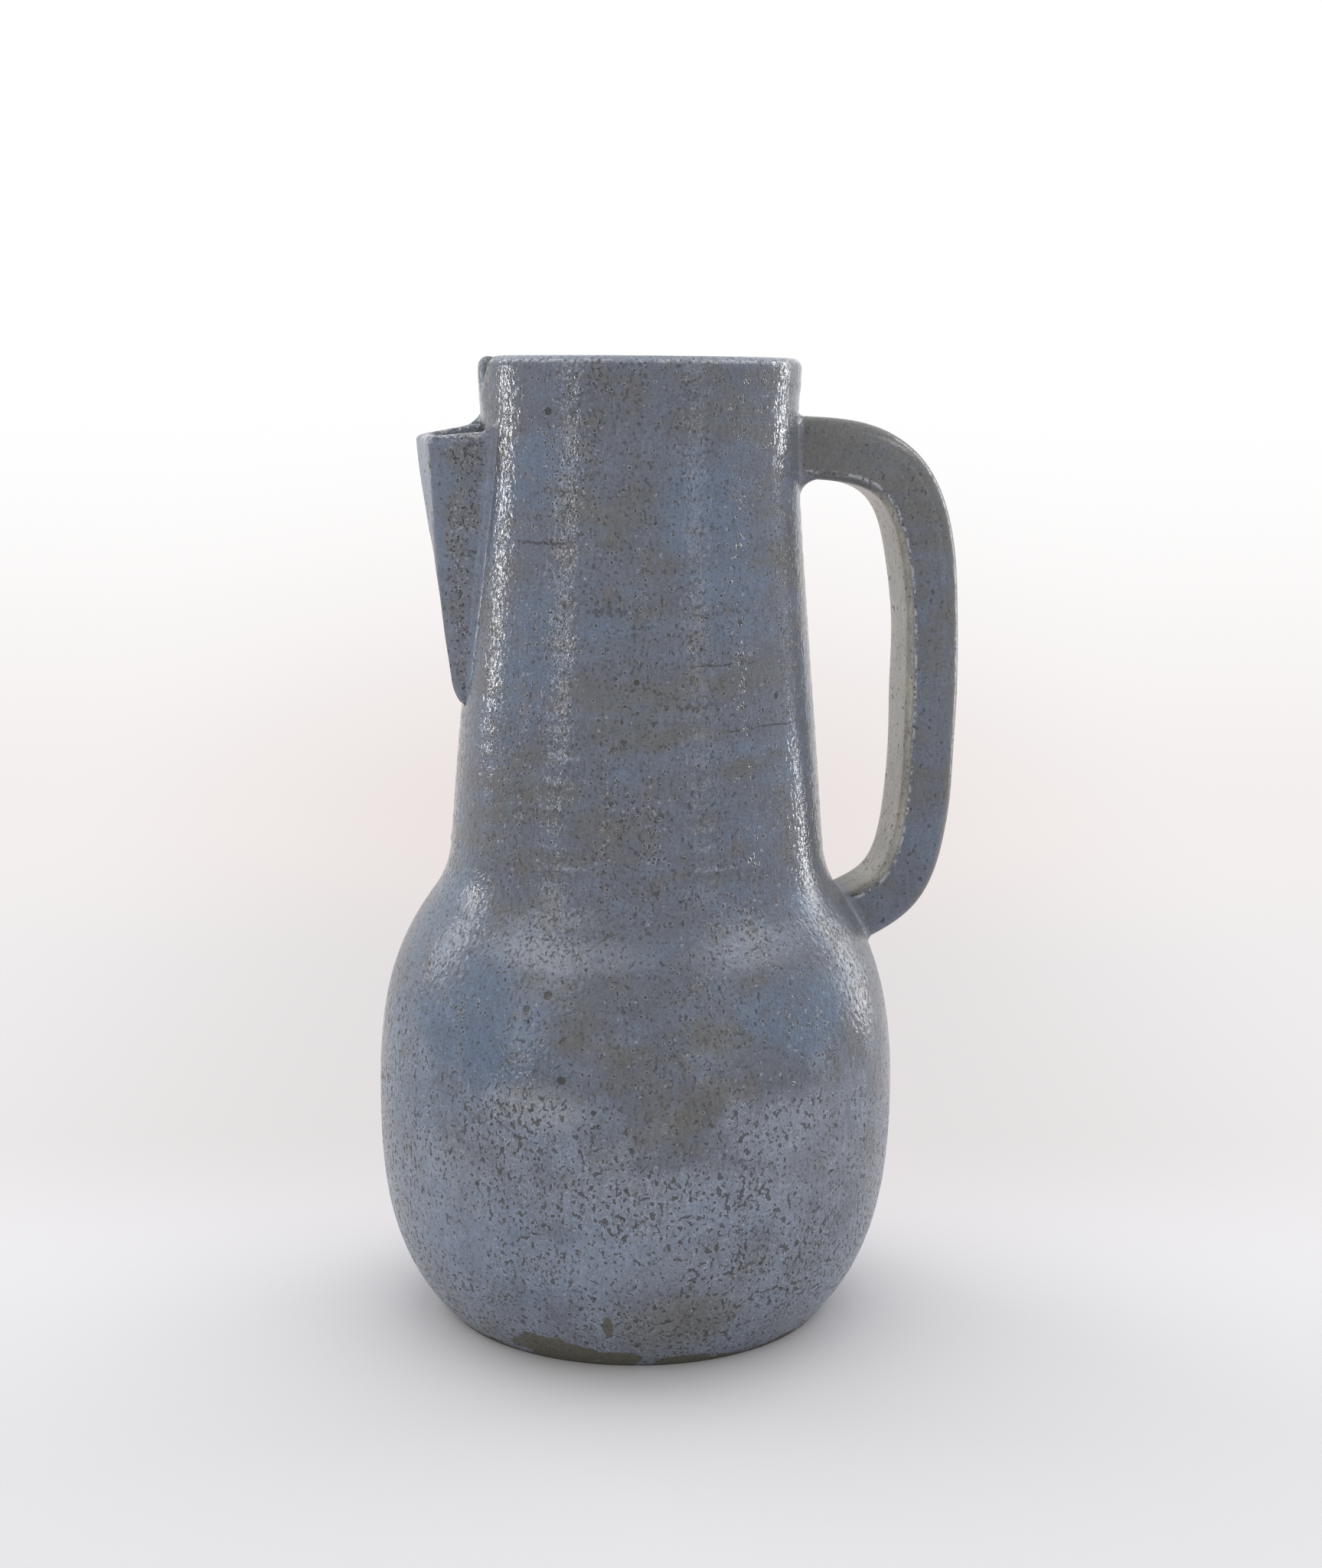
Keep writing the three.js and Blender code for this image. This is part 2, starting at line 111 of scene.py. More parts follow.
class PITCHER_PG_spout(bpy.types.PropertyGroup):
    """Sizes of the folded beak spout"""
    reach: length("Reach", "Distance of the nose from the axis at the lip", -spout_low.x)
    lip_rise: length("Lip rise", "Rise of the lip from the nose to the neck", 0.0025)
    lip_tilt: length("Lip tilt", "How much higher the far lip stands than the near one at the neck", 0.0026)
    lip_sweep: length("Lip sweep", "How far the smoothed lip sweeps up on to the neck", 0.005)
    lip_drop: length("Lip drop", "Distance of the nose's lip below the rim", 0.023)
    height: length("Height", "Distance from the lip down to the toe", 0.079)
    toe_out: length("Toe projection", "How far the toe stands out from the wall", 0.003)
    bulge: length("Bulge", "How far the nose stands out past a straight line from toe to lip", 0.0006)
    width: length("Width", "Width across the lip", spout_high.y - spout_low.y)
    toe_width: length("Toe width", "Width at the toe", 0.006)
    keel_width: length("Keel width", "Width of the nose's flat at the toe", 0.0012)
    slab: length("Slab", "Thickness of the folded clay", 0.004)
    edge: length("Edge", "Rounding of the lip's edges", 0.0013)
    fillet: length("Fillet", "Reach of the smoothed clay in the corners at the lip", 0.0055)


class PITCHER_PG_handle(bpy.types.PropertyGroup):
    """Sizes of the strap handle"""
    root_drop: length("Root drop", "Distance of the strap's root below the rim", 0.026)
    grip_drop: length("Grip drop", "Distance of the grip's outermost place below the root", 0.067)
    foot_height: length("Foot height", "Height at which the strap meets the shoulder", 0.1205)
    finger_gap: length("Finger gap", "Room between the neck and the grip", 0.0293)
    width: length("Width", "Width of the strap", 0.0225)
    root_thick: length("Root thickness", "Thickness of the strap at the neck", 0.0185)
    thick: length("Thickness", "Thickness of the strap along the grip", 0.0168)
    edge: length("Edge", "Rounding of the strap's inner edges", 0.003)
    outer_edge: length("Outer edge", "Rounding of the strap's outer edges", 0.0055)
    foot_slope: angle("Foot slope", "Slope at which the strap meets the shoulder", 24.0)
    swing: angle("Swing", "How far the handle is set off the line through the spout", 6.0)
    arm_fullness: share("Arm fullness", "How far the arm keeps level", 0.757)
    rise_fullness: share("Rise fullness", "How far the grip keeps upright towards the arm", 0.87)
    fall_fullness: share("Fall fullness", "How far the grip keeps upright towards the foot", 0.784)
    foot_fullness: share("Foot fullness", "How far the foot keeps its slope", 0.91)
    armpit: length("Armpit", "Reach of the smoothed clay under the arm", 0.009)
    brow: length("Brow", "Reach of the smoothed clay over the arm", 0.0035)
    fillet: length("Fillet", "Reach of the smoothed clay beside the roots", 0.0028)


class PITCHER_PG_glaze(bpy.types.PropertyGroup):
    """Colours of the glaze and the bare clay"""
    slate: colour("Slate", "Main colour of the glaze", (0.128, 0.139, 0.172))
    blue: colour("Blue", "Glaze where it pooled thick", (0.120, 0.166, 0.246))
    olive: colour("Olive", "Glaze where it broke thin", (0.126, 0.124, 0.108))
    rose: colour("Rose", "Warm clouds in the glaze", (0.162, 0.144, 0.152))
    # Pale is also laid as painted light: sheen on the lip, lifted shade on the spout and in the fillets, and
    # the lit sides and shoulder of the belly
    pale: colour("Pale", "Pale skin between the pits", (0.276, 0.312, 0.384))
    # White is also laid as painted highlight lines along the lip, the fillets' tops and the strap's inner
    # edges
    white: colour("White", "Glaze broken white along the edges", (0.50, 0.52, 0.57))
    cream: colour("Cream", "Glaze run thin on the strap's inner face", (0.470, 0.446, 0.384))
    pit: colour("Pit", "Bottom of the pits and pinholes", (0.046, 0.046, 0.044))
    inner: colour("Inside", "Glaze on the inside of the pot", (0.060, 0.056, 0.043))
    clay: colour("Clay", "Bare fired clay at the foot", (0.108, 0.104, 0.082))


class PITCHER_PG_stage(bpy.types.PropertyGroup):
    """Camera, floor and light"""
    azimuth: angle("Azimuth", "Side from which the camera looks", -16.0)
    distance: length("Distance", "Level distance of the camera from the axis", 0.690)
    height: length("Height", "Height of the camera", 0.2814)
    pitch: angle("Pitch", "How far the camera looks down", 9.815)
    yaw: angle("Yaw", "How far the camera looks to the right of the axis", 0.6)
    roll: angle("Roll", "How far the picture leans", 0.45)
    focal: FloatProperty(name="Focal length", description="In photo pixels", default=3000.0)
    floor: colour("Floor", "Pale floor", (0.80, 0.795, 0.815))
    # The horizon and backdrop tones glow on the paper as painted light, darker where it meets the floor
    horizon: colour("Horizon", "Backdrop where it meets the floor", (0.765, 0.735, 0.740))
    backdrop: colour("Backdrop", "Backdrop behind the pot", (0.83, 0.765, 0.75))


# Small helpers

def ease(value, low, high):
    """0 up to low, 1 from high on, with a smooth rise between."""
    part = min(max((value - low) / (high - low), 0.0), 1.0)
    return part * part * (3.0 - 2.0 * part)


def mix(low, high, part):
    return low + (high - low) * part


def heading(degrees):
    """Direction in the XZ plane at an angle from level."""
    turn = math.radians(degrees)
    return Vector((math.cos(turn), 0.0, math.sin(turn)))


# The thrown wall

# Directions of the outline, in degrees from level
FOOT_ANGLE = 46
SHOULDER_ANGLE = 126
SEAM_ANGLE = 94
WAIST_ANGLE = 92
UPRIGHT = 90

# Steps up the outline and round the pot
FOOT_STEPS = 54
BELLY_STEPS = 48
SHOULDER_STEPS = 16
NECK_STEPS = 96
RIM_STEPS = 14
LIP_STEPS = 12
SEGMENTS = 224
SEAM_PLACE = FOOT_STEPS + BELLY_STEPS + SHOULDER_STEPS

# Marks of the potter's hands: depths and spreads in metres, and scales of noise
LUMP_SCALE = 21.0
LUMP_DEPTH = 0.00032
DRIFT_SCALE = 14.0
DRIFT_TURNS = 0.45
OVAL_DEPTH = 0.00025
OVAL_AZIMUTH = 0.6
BELLY_RING_SHARE = 0.3
RING_STRENGTH = 0.6
RING_SWING = 0.8
RING_SWING_SCALE = 10.5
FOOT_FADE = 0.006
SEAM_RIDGE = 0.00022
SEAM_SPREAD = 0.0013
SEAM_BREAK_SCALE = 60.0
SEAM_BREAK = (-0.1, 0.4)

# Halvings in the search for the wall
MEET_STEPS = 30


class Wall:
    """Outline of the thrown wall from foot to lip, and the marks of the potter's hands on it."""

    def __init__(self, body):
        self.body = body
        self.lip_middle = body.rim_height - body.wall / 2.0
        foot = Vector((body.foot_radius, 0.0, 0.0))
        widest = Vector((body.belly_radius, 0.0, body.belly_height))
        shoulder = Vector((body.shoulder_radius, 0.0, body.shoulder_height))
        seam = Vector((body.seam_radius, 0.0, body.seam_height))
        waist = Vector((body.waist_radius, 0.0, body.rim_height - body.waist_drop))
        lip = Vector((body.rim_radius, 0.0, self.lip_middle))
        self.outside = [foot]
        self.carry_on(FOOT_ANGLE, widest, UPRIGHT, FOOT_STEPS)
        self.carry_on(UPRIGHT, shoulder, SHOULDER_ANGLE, BELLY_STEPS)
        self.carry_on(SHOULDER_ANGLE, seam, SEAM_ANGLE, SHOULDER_STEPS)
        self.carry_on(SEAM_ANGLE, waist, WAIST_ANGLE, NECK_STEPS)
        self.carry_on(WAIST_ANGLE, lip, UPRIGHT, RIM_STEPS)
        self.heights = [point.z for point in self.outside]

    def carry_on(self, leaving, end, arriving, steps):
        """Adds a curve from the outline's last point to a new end."""
        start = self.outside[-1]
        pull = self.body.fullness * (end - start).length
        first = start + heading(leaving) * pull
        second = end - heading(arriving) * pull
        self.outside += interpolate_bezier(start, first, second, end, steps + 1)[1:]

    def radius(self, height):
        """Outer radius of the plain outline at a height."""
        place = min(max(bisect_left(self.heights, height), 1), len(self.heights) - 1)
        low, high = self.outside[place - 1], self.outside[place]
        return mix(low.x, high.x, (height - low.z) / (high.z - low.z))

    def marks(self, azimuth, height):
        """How far the hand-thrown surface stands out from the plain outline."""
        body = self.body
        place = Vector((math.cos(azimuth), math.sin(azimuth), 0.0)) * body.waist_radius + UP * height
        drift = noise.noise(place * DRIFT_SCALE) * DRIFT_TURNS
        turns = height / body.ring_pitch + azimuth / math.tau + drift
        on_neck = ease(height, body.shoulder_height, body.seam_height)
        strength = RING_STRENGTH + RING_SWING * noise.noise(place * RING_SWING_SCALE)
        strength *= mix(BELLY_RING_SHARE, 1.0, on_neck)
        ring = body.ring_depth * strength * math.sin(turns * math.tau)
        lump = LUMP_DEPTH * noise.noise(place * LUMP_SCALE)
        oval = OVAL_DEPTH * math.cos(2.0 * (azimuth - OVAL_AZIMUTH))
        from_seam = (height - body.seam_height) / SEAM_SPREAD
        unbroken = ease(noise.noise(place * SEAM_BREAK_SCALE), *SEAM_BREAK)
        seam = SEAM_RIDGE * math.exp(-from_seam * from_seam) * unbroken
        return (ring + lump + oval + seam) * ease(height, 0.0, FOOT_FADE)

    def surface(self, azimuth, height, lift=0.0):
        """Point of the marked wall, lifted off it by a distance."""
        out = self.radius(height) + self.marks(azimuth, height) + lift
        return Vector((out * math.cos(azimuth), out * math.sin(azimuth), height))

    def depth(self, point):
        """How far a point lies outside the marked wall, negative within it."""
        azimuth = math.atan2(point.y, point.x)
        return math.hypot(point.x, point.y) - self.radius(point.z) - self.marks(azimuth, point.z)

    def meet(self, start, outward, reach):
        """Point where the line through start along outward comes out of the wall."""
        near, far = -reach, reach
        for _ in range(MEET_STEPS):
            middle = (near + far) / 2.0
            if self.depth(start + outward * middle) > 0.0:
                far = middle
            else:
                near = middle
        return start + outward * far


def sideways(points, distance):
    """Outline moved to the left of its direction."""
    moved = []
    for place, point in enumerate(points):
        along = points[min(place + 1, len(points) - 1)] - points[max(place - 1, 0)]
        along.normalize()
        moved.append(point + Vector((-along.z, 0.0, along.x)) * distance)
    return moved


# Mesh helpers

SHARP_ANGLE = math.radians(50.0)
WELD = 0.00001


def spin_outline(bm, points, shares, closed):
    """Turns an outline about the Z axis; shares gives each attribute's value at the outline's points."""
    layers = [(bm.verts.layers.float.new(name), values) for name, values in shares.items()]
    verts = [bm.verts.new(point) for point in points]
    for layer, values in layers:
        for vert, value in zip(verts, values):
            vert[layer] = value
    edges = [bm.edges.new(pair) for pair in zip(verts, verts[1:])]
    if closed:
        edges.append(bm.edges.new((verts[-1], verts[0])))
    bmesh.ops.spin(bm, geom=verts + edges, cent=(0.0, 0.0, 0.0), axis=UP, angle=math.tau,
                   steps=SEGMENTS, use_merge=True)
    bmesh.ops.remove_doubles(bm, verts=bm.verts, dist=WELD)


def ring(bm, points):
    """Closed ring of edges through the points."""
    made = bmesh.ops.create_circle(bm, cap_ends=False, radius=1.0, segments=len(points))
    for vert, point in zip(made["verts"], points):
        vert.co = point
    return made["verts"]


def loop_edges(verts):
    """Edges that join the vertices of one ring."""
    own = set(verts)
    return list({edge for vert in verts for edge in vert.link_edges if own.issuperset(edge.verts)})


def loft(bm, rings, closed=False):
    """Skin over a row of like rings, capped or run back to its start; gives the rings' vertices."""
    rows = [ring(bm, points) for points in rings]
    edge_rings = [loop_edges(row) for row in rows]
    pairs = list(zip(edge_rings, edge_rings[1:]))
    if closed:
        pairs.append((edge_rings[-1], edge_rings[0]))
    for here, there in pairs:
        bmesh.ops.bridge_loops(bm, edges=here + there)
    if not closed:
        for end in (edge_rings[0], edge_rings[-1]):
            bmesh.ops.contextual_create(bm, geom=end)
    return rows


def float_layers(bm, *names):
    """New layers of one number at each vertex, which the glaze reads by name."""
    return [bm.verts.layers.float.new(name) for name in names]


def finish_piece(bm, name, material, slot, *nodes):
    """Welds a mesh, shades it smooth but for sharp edges, and sets it on the frame for its nodes."""
    bmesh.ops.remove_doubles(bm, verts=bm.verts, dist=WELD)
    bmesh.ops.recalc_face_normals(bm, faces=bm.faces)
    for face in bm.faces:
        face.smooth = True
    for edge in bm.edges:
        edge.smooth = not edge.is_manifold or edge.calc_face_angle() < SHARP_ANGLE
    open_edges = sum(1 for edge in bm.edges if not edge.is_manifold)
    if open_edges:
        raise RuntimeError(f"{name} has {open_edges} open edges")
    mesh = bpy.data.meshes.new(name)
    bm.to_mesh(mesh)
    bm.free()
    mesh.materials.append(material)
    piece = bpy.data.objects.new(name, mesh)
    bpy.context.scene.collection.objects.link(piece)
    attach(piece, "root")
    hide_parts(*nodes)
    return piece


# Shader helpers

# Sockets of a Mix node that blends colours
MIX_FACTOR = 0
MIX_LOW = 6
MIX_HIGH = 7
MIX_RESULT = 2


class Value:
    """A node's output that Python's operators turn into Math nodes."""

    def __init__(self, shader, socket):
        self.shader = shader
        self.socket = socket

    def beside(self, output):
        """Another output of the same node."""
        return Value(self.shader, self.socket.node.outputs[output])

    def maths(self, operation, first, second):
        return self.shader.add("ShaderNodeMath", {"operation": operation}, {0: first, 1: second})

    def most(self, other):
        """The greater of two values."""
        return self.maths("MAXIMUM", self, other)

    def __add__(self, other):
        return self.maths("ADD", self, other)

    def __radd__(self, other):
        return self.maths("ADD", other, self)

    def __sub__(self, other):
        return self.maths("SUBTRACT", self, other)

    def __rsub__(self, other):
        return self.maths("SUBTRACT", other, self)

    def __mul__(self, other):
        return self.maths("MULTIPLY", self, other)

    def __rmul__(self, other):
        return self.maths("MULTIPLY", other, self)

    def __truediv__(self, other):
        return self.maths("DIVIDE", self, other)

    def __abs__(self):
        return self.maths("ABSOLUTE", self, 0.0)


class Shader:
    """A material and the few nodes that its recipes are made of."""

    def __init__(self, name):
        self.material = bpy.data.materials.new(name)
        self.material.use_nodes = True
        self.tree = self.material.node_tree
        self.tree.nodes.clear()

    def add(self, kind, settings=None, inputs=None, output=0):
        """New node with its settings, then its sockets' values or links, and one of its outputs."""
        node = self.tree.nodes.new(kind)
        for key, value in (settings or {}).items():
            setattr(node, key, value)
        for key, value in (inputs or {}).items():
            if isinstance(value, Value):
                self.tree.links.new(value.socket, node.inputs[key])
            else:
                node.inputs[key].default_value = value
        return Value(self, node.outputs[output]) if node.outputs else node

    def noise(self, vector, scale, detail, roughness):
        inputs = {"Vector": vector, "Scale": scale, "Detail": detail, "Roughness": roughness}
        return self.add("ShaderNodeTexNoise", inputs=inputs)

    def rise(self, value, low, high):
        """0 below low and 1 above high, smooth between."""
        inputs = {"Value": value, "From Min": low, "From Max": high}
        return self.add("ShaderNodeMapRange", {"interpolation_type": "SMOOTHSTEP"}, inputs)

    def fall(self, value, low, high):
        return 1.0 - self.rise(value, low, high)

    def blend(self, low, high, part, blend_type="MIX"):
        settings = {"data_type": "RGBA", "blend_type": blend_type}
        inputs = {MIX_FACTOR: part, MIX_LOW: low, MIX_HIGH: high}
        return self.add("ShaderNodeMix", settings, inputs, output=MIX_RESULT)

    def attribute(self, name):
        return self.add("ShaderNodeAttribute", {"attribute_name": name}, output="Fac")

    def finish(self, surface):
        self.add("ShaderNodeOutputMaterial", inputs={"Surface": surface})
        return self.material


def opaque(colour_value):
    return (*colour_value, 1.0)


# The glaze

MM = 0.001
PEEL_DEPTH = 0.00056
LIGHTNESS = 1.02
GLAZE_ROUGHNESS = 0.11
OLIVE_BIAS = 0.03

# Places on the wall as seen from the front: azimuth in degrees, then height, half width and half height in
# millimetres
BLUE_POOLS = (
    (-41, 258, 15, 13),
    (-38, 206, 16, 24),
    (24, 240, 17, 34),
    (-34, 101, 36, 20),
    (-27, 105, 14, 11),
    (-42, 44, 30, 22),
    (38, 106, 26, 17),
    (-6, 38, 28, 14),
)
THIN_PATCHES = (
    (-1, 288, 26, 6),
    (-16, 246, 18, 14),
    (6, 216, 24, 20),
    (16, 192, 24, 14),
    (-34, 168, 20, 13),
    (13, 93, 30, 26),
    (12, 22, 26, 12),
)
PALE_PATCHES = (
    (-20, 83, 20, 10),
    (31, 76, 28, 12),
    (10, 56, 50, 12),
)
# Partly pale glaze, partly painted light: the lit sides of the belly and a band of sheen along the shoulder
MILKY_AND_LIT_PATCHES = (
    (-44, 46, 30, 26),
    (38, 64, 28, 26),
    (-4, 38, 30, 13),
    (-20, 124, 34, 7),
    (30, 124, 26, 7),
)
CREAM_PATCHES = (
    (-21, 83, 18, 9),
)
WORN_PATCHES = (
    (12, 17, 24, 13),
)
BARE_PATCHES = (
    (-22, 4.5, 19, 7.5),
    (-6, 16.5, 2, 5),
    (-4, 3, 8, 5),
    (14, 2, 12, 3),
)
PITTED_PATCHES = (
    (-50, 226, 5, 34),
    (-51, 190, 8, 36),
    (57, 222, 6, 56),
    (-26, 256, 8, 26),
    (-27, 212, 6, 14),
    (-42, 107, 8, 6),
)
PINHOLES = (
    (-32.5, 274.4, 1.5, 1.3),
    (-20, 113.5, 1.5, 1.3),
    (-24.6, 109.5, 1.3, 1.1),
    (-15.4, 91.2, 1.8, 1.4),
)
CRACKS = (
    (-34, 238, 12, 0.35),
    (28, 204, 13, 0.25),
    (46, 185.5, 20, 0.25),
)
SCARS = (
    (-19, 147, 5, 0.6),
    (24, 146.5, 8, 0.6),
    (-23, 178, 6, 0.7),
)
PIT_ROWS = (
    (-31, 252.5, 7, 1.1),
    (-37, 245, 6, 1.0),
    (-10, 219, 8, 1.0),
    (16, 193, 10, 1.1),
    (-30, 162, 12, 1.1),
)

# Numbers that the pieces carry at their vertices
VERTEX_MASKS = ("thin", "pool", "smooth", "milky", "inside", "edge", "skin", "pitted")

# Noise patterns: stretch along X, Y and Z, shift, scale, detail and roughness
EVEN = (1.0, 1.0, 1.0)
IN_PLACE = (0.0, 0.0, 0.0)
PATTERN_MIDDLE = 0.5
PATTERNS = {
    "broad": ((1.0, 1.0, 1.3), IN_PLACE, 24.0, 2.0, 0.5),
    "other": ((1.0, 1.0, 1.7), (0.3, 0.1, 0.7), 29.0, 2.0, 0.5),
    "cloud": (EVEN, IN_PLACE, 75.0, 4.0, 0.62),
    "patch": ((0.8, 0.8, 1.1), (0.5, 0.2, 0.4), 130.0, 3.0, 0.7),
    "rings": ((0.13, 0.13, 1.0), IN_PLACE, 165.0, 2.0, 0.5),
    "streak": ((1.0, 1.0, 0.2), IN_PLACE, 900.0, 2.0, 0.5),
    "column": ((1.0, 1.0, 0.09), IN_PLACE, 95.0, 2.0, 0.5),
    "dust": (EVEN, IN_PLACE, 1300.0, 2.0, 0.65),
    "peel": (EVEN, IN_PLACE, 500.0, 2.0, 0.5),
    "flake": ((1.0, 1.0, 0.8), IN_PLACE, 720.0, 2.0, 0.5),
    "row": ((0.09, 0.09, 1.0), IN_PLACE, 300.0, 2.0, 0.5),
    "fleck": ((1.0, 1.0, 0.75), IN_PLACE, 1000.0, 1.0, 0.5),
    "ridge": ((0.05, 0.05, 1.0), IN_PLACE, 520.0, 1.0, 0.5),
}

# Heights between which the glaze changes, and how far the edge of the bare foot wanders, in metres
NECK_BEGINS = (0.12, 0.16)
SHOULDER_BEGINS = (0.085, 0.11)
SHOULDER_ENDS = (0.125, 0.15)
FOOT_BARE = (0.0010, 0.0018)
FOOT_WANDER = 0.010

# Masks that come in over a range of a weighted sum of patterns and other masks: the range and the weights
MASKS = {
    "blue": ((-0.14, 0.30), {"broad": 1.0, "cloud": 0.75, "dust": 0.7, "band": 0.35, "pool": 0.24,
                             "thin": -0.2}),
    "olive": ((0.0, 0.44), {"other": 1.0, "patch": 1.0, "dust": 0.9, "band": -0.55, "thin_patch": 0.18,
                            "thin": 0.40, "pool": -0.12, "on_neck": 0.04, "olive_bias": 1.0}),
    "rose": ((0.05, 0.4), {"column": 1.0, "patch": 1.1, "dust": 0.6}),
    "low": ((-0.130, -0.050), {"height": -1.0, "broad": 0.10, "cloud": 0.08}),
    "rough": ((0.15, 0.95), {"low": 0.75, "pale_patch": 0.50, "cloud": 1.0, "other": 0.7, "pool": -0.20,
                             "smooth": -0.3}),
    "pits": ((0.155, 0.195), {"flake": 1.0, "rough": 0.088}),
    "pits_and_rims": ((0.075, 0.140), {"flake": 1.0, "rough": 0.088}),
    "rows": ((0.12, 0.22), {"row": 1.0}),
    "specks": ((0.125, 0.180), {"fleck": 1.0, "column": 0.22, "patch": 0.18, "rows": 0.06, "pool": -0.03,
                                "smooth": -0.08, "pit_row": 0.15}),
    "pinholes": ((0.25, 0.5), {"pinhole": 1.0, "cloud": 0.8}),
    "bubbly": ((0.0, 0.2), {"column": 1.0}),
    "beaded": ((-0.06, 0.04), {"peel": 1.0, "patch": 0.5, "dust": 0.4}),
    "scarred": ((-0.10, 0.10), {"dust": 1.0}),
    "cracked": ((-0.05, 0.03), {"dust": 1.0}),
    "bare_clay": ((0.42, 0.5), {"bare_patch": 1.0, "cloud": 1.0, "patch": 1.5, "dust": 0.6}),
}

# Colours laid over the slate in turn, and the weights of the masks that say how much of each shows
COATS = (
    ("blue", {"blue": 0.9, "neck_blue": -0.2}),
    ("rose", {"rose": 0.5}),
    ("olive", {"olive": 0.8, "neck_olive": -0.15}),
    # Painted light in pale: the sheen on the lip, the lifted shade on the spout and in the fillets, and the
    # lit sides and shoulder of the belly
    ("pale", {"milky": 0.9, "milky_patch": 0.40}),
    ("cream", {"skin": 0.88, "clouded_skin": 1.2}),
    ("pale", {"rough": 0.34, "pale_patch": 0.12, "rough_rims": 0.55}),
    ("cream", {"cream_patch": 0.14}),
    ("olive", {"worn_patch": 0.6}),
    ("pale", {"scars": 0.5}),
    # Painted highlight: white lines along the lip, the fillets' tops and the strap's inner edges
    ("white", {"beads": 0.7}),
    ("white", {"crater_rims": 0.30}),
)
SHADE = {"dust": 1.05, "streak": 0.5, "cloud": 0.3, "band": 0.2, "on_neck": 0.07}
DARK_COATS = (
    ("pit", {"pits": 0.74}),
    ("pit", {"specks": 0.6}),
    ("pit", {"craters": 0.72}),
    ("pit", {"holes": 0.9}),
    ("pit", {"cracks": 0.9}),
    ("clay", {"bare": 1.0}),
    ("inner", {"inside": 1.0}),
)

# Weights of the masks in the surface's waves, its relief and its roughness
WAVES = {"peel": 0.45, "dust": 0.04, "cloud": 0.6, "ridge": 0.16}
WAVES_MIDDLE = 0.625
SMOOTHING = 0.5
RELIEF = {"waves": 1.0, "crater_rims": 0.32, "beads": 0.5, "craters": -0.30, "pits": -0.26, "specks": -0.14,
          "holes": -0.8, "cracks": -0.5, "bare": -0.25}
ROUGHNESS = {"cloud": 0.14, "pits": 0.3, "specks": 0.2, "bare": 0.4, "rough": 0.16, "smooth": 0.14,
             "shoulder": 0.18}

# Holes and burst bubbles: cells to the metre, and distances from a cell's middle as shares of the cell
HOLE_SCALE = 48.0
HOLE_EDGE = (0.03, 0.044)
CRATER_SCALE = 700.0
CRATER_WOBBLE = 0.004
CRATER_EDGE = (0.24, 0.34)
CRATER_RIM_EDGE = (0.44, 0.54)
CRATER_CHANCE = (0.0, 0.04)
CRATER_DENSITY = {"pitted": 0.75, "bubbly": 0.35, "smooth": -1.0}
CRATER_BASE = 0.10

# Level lines in the glaze: how far they wander, in millimetres, and how they fade at their ends and edges
LINE_WANDER = 3.4
LINE_ENDS = (0.7, 1.0)
LINE_EDGES = (0.5, 1.2)


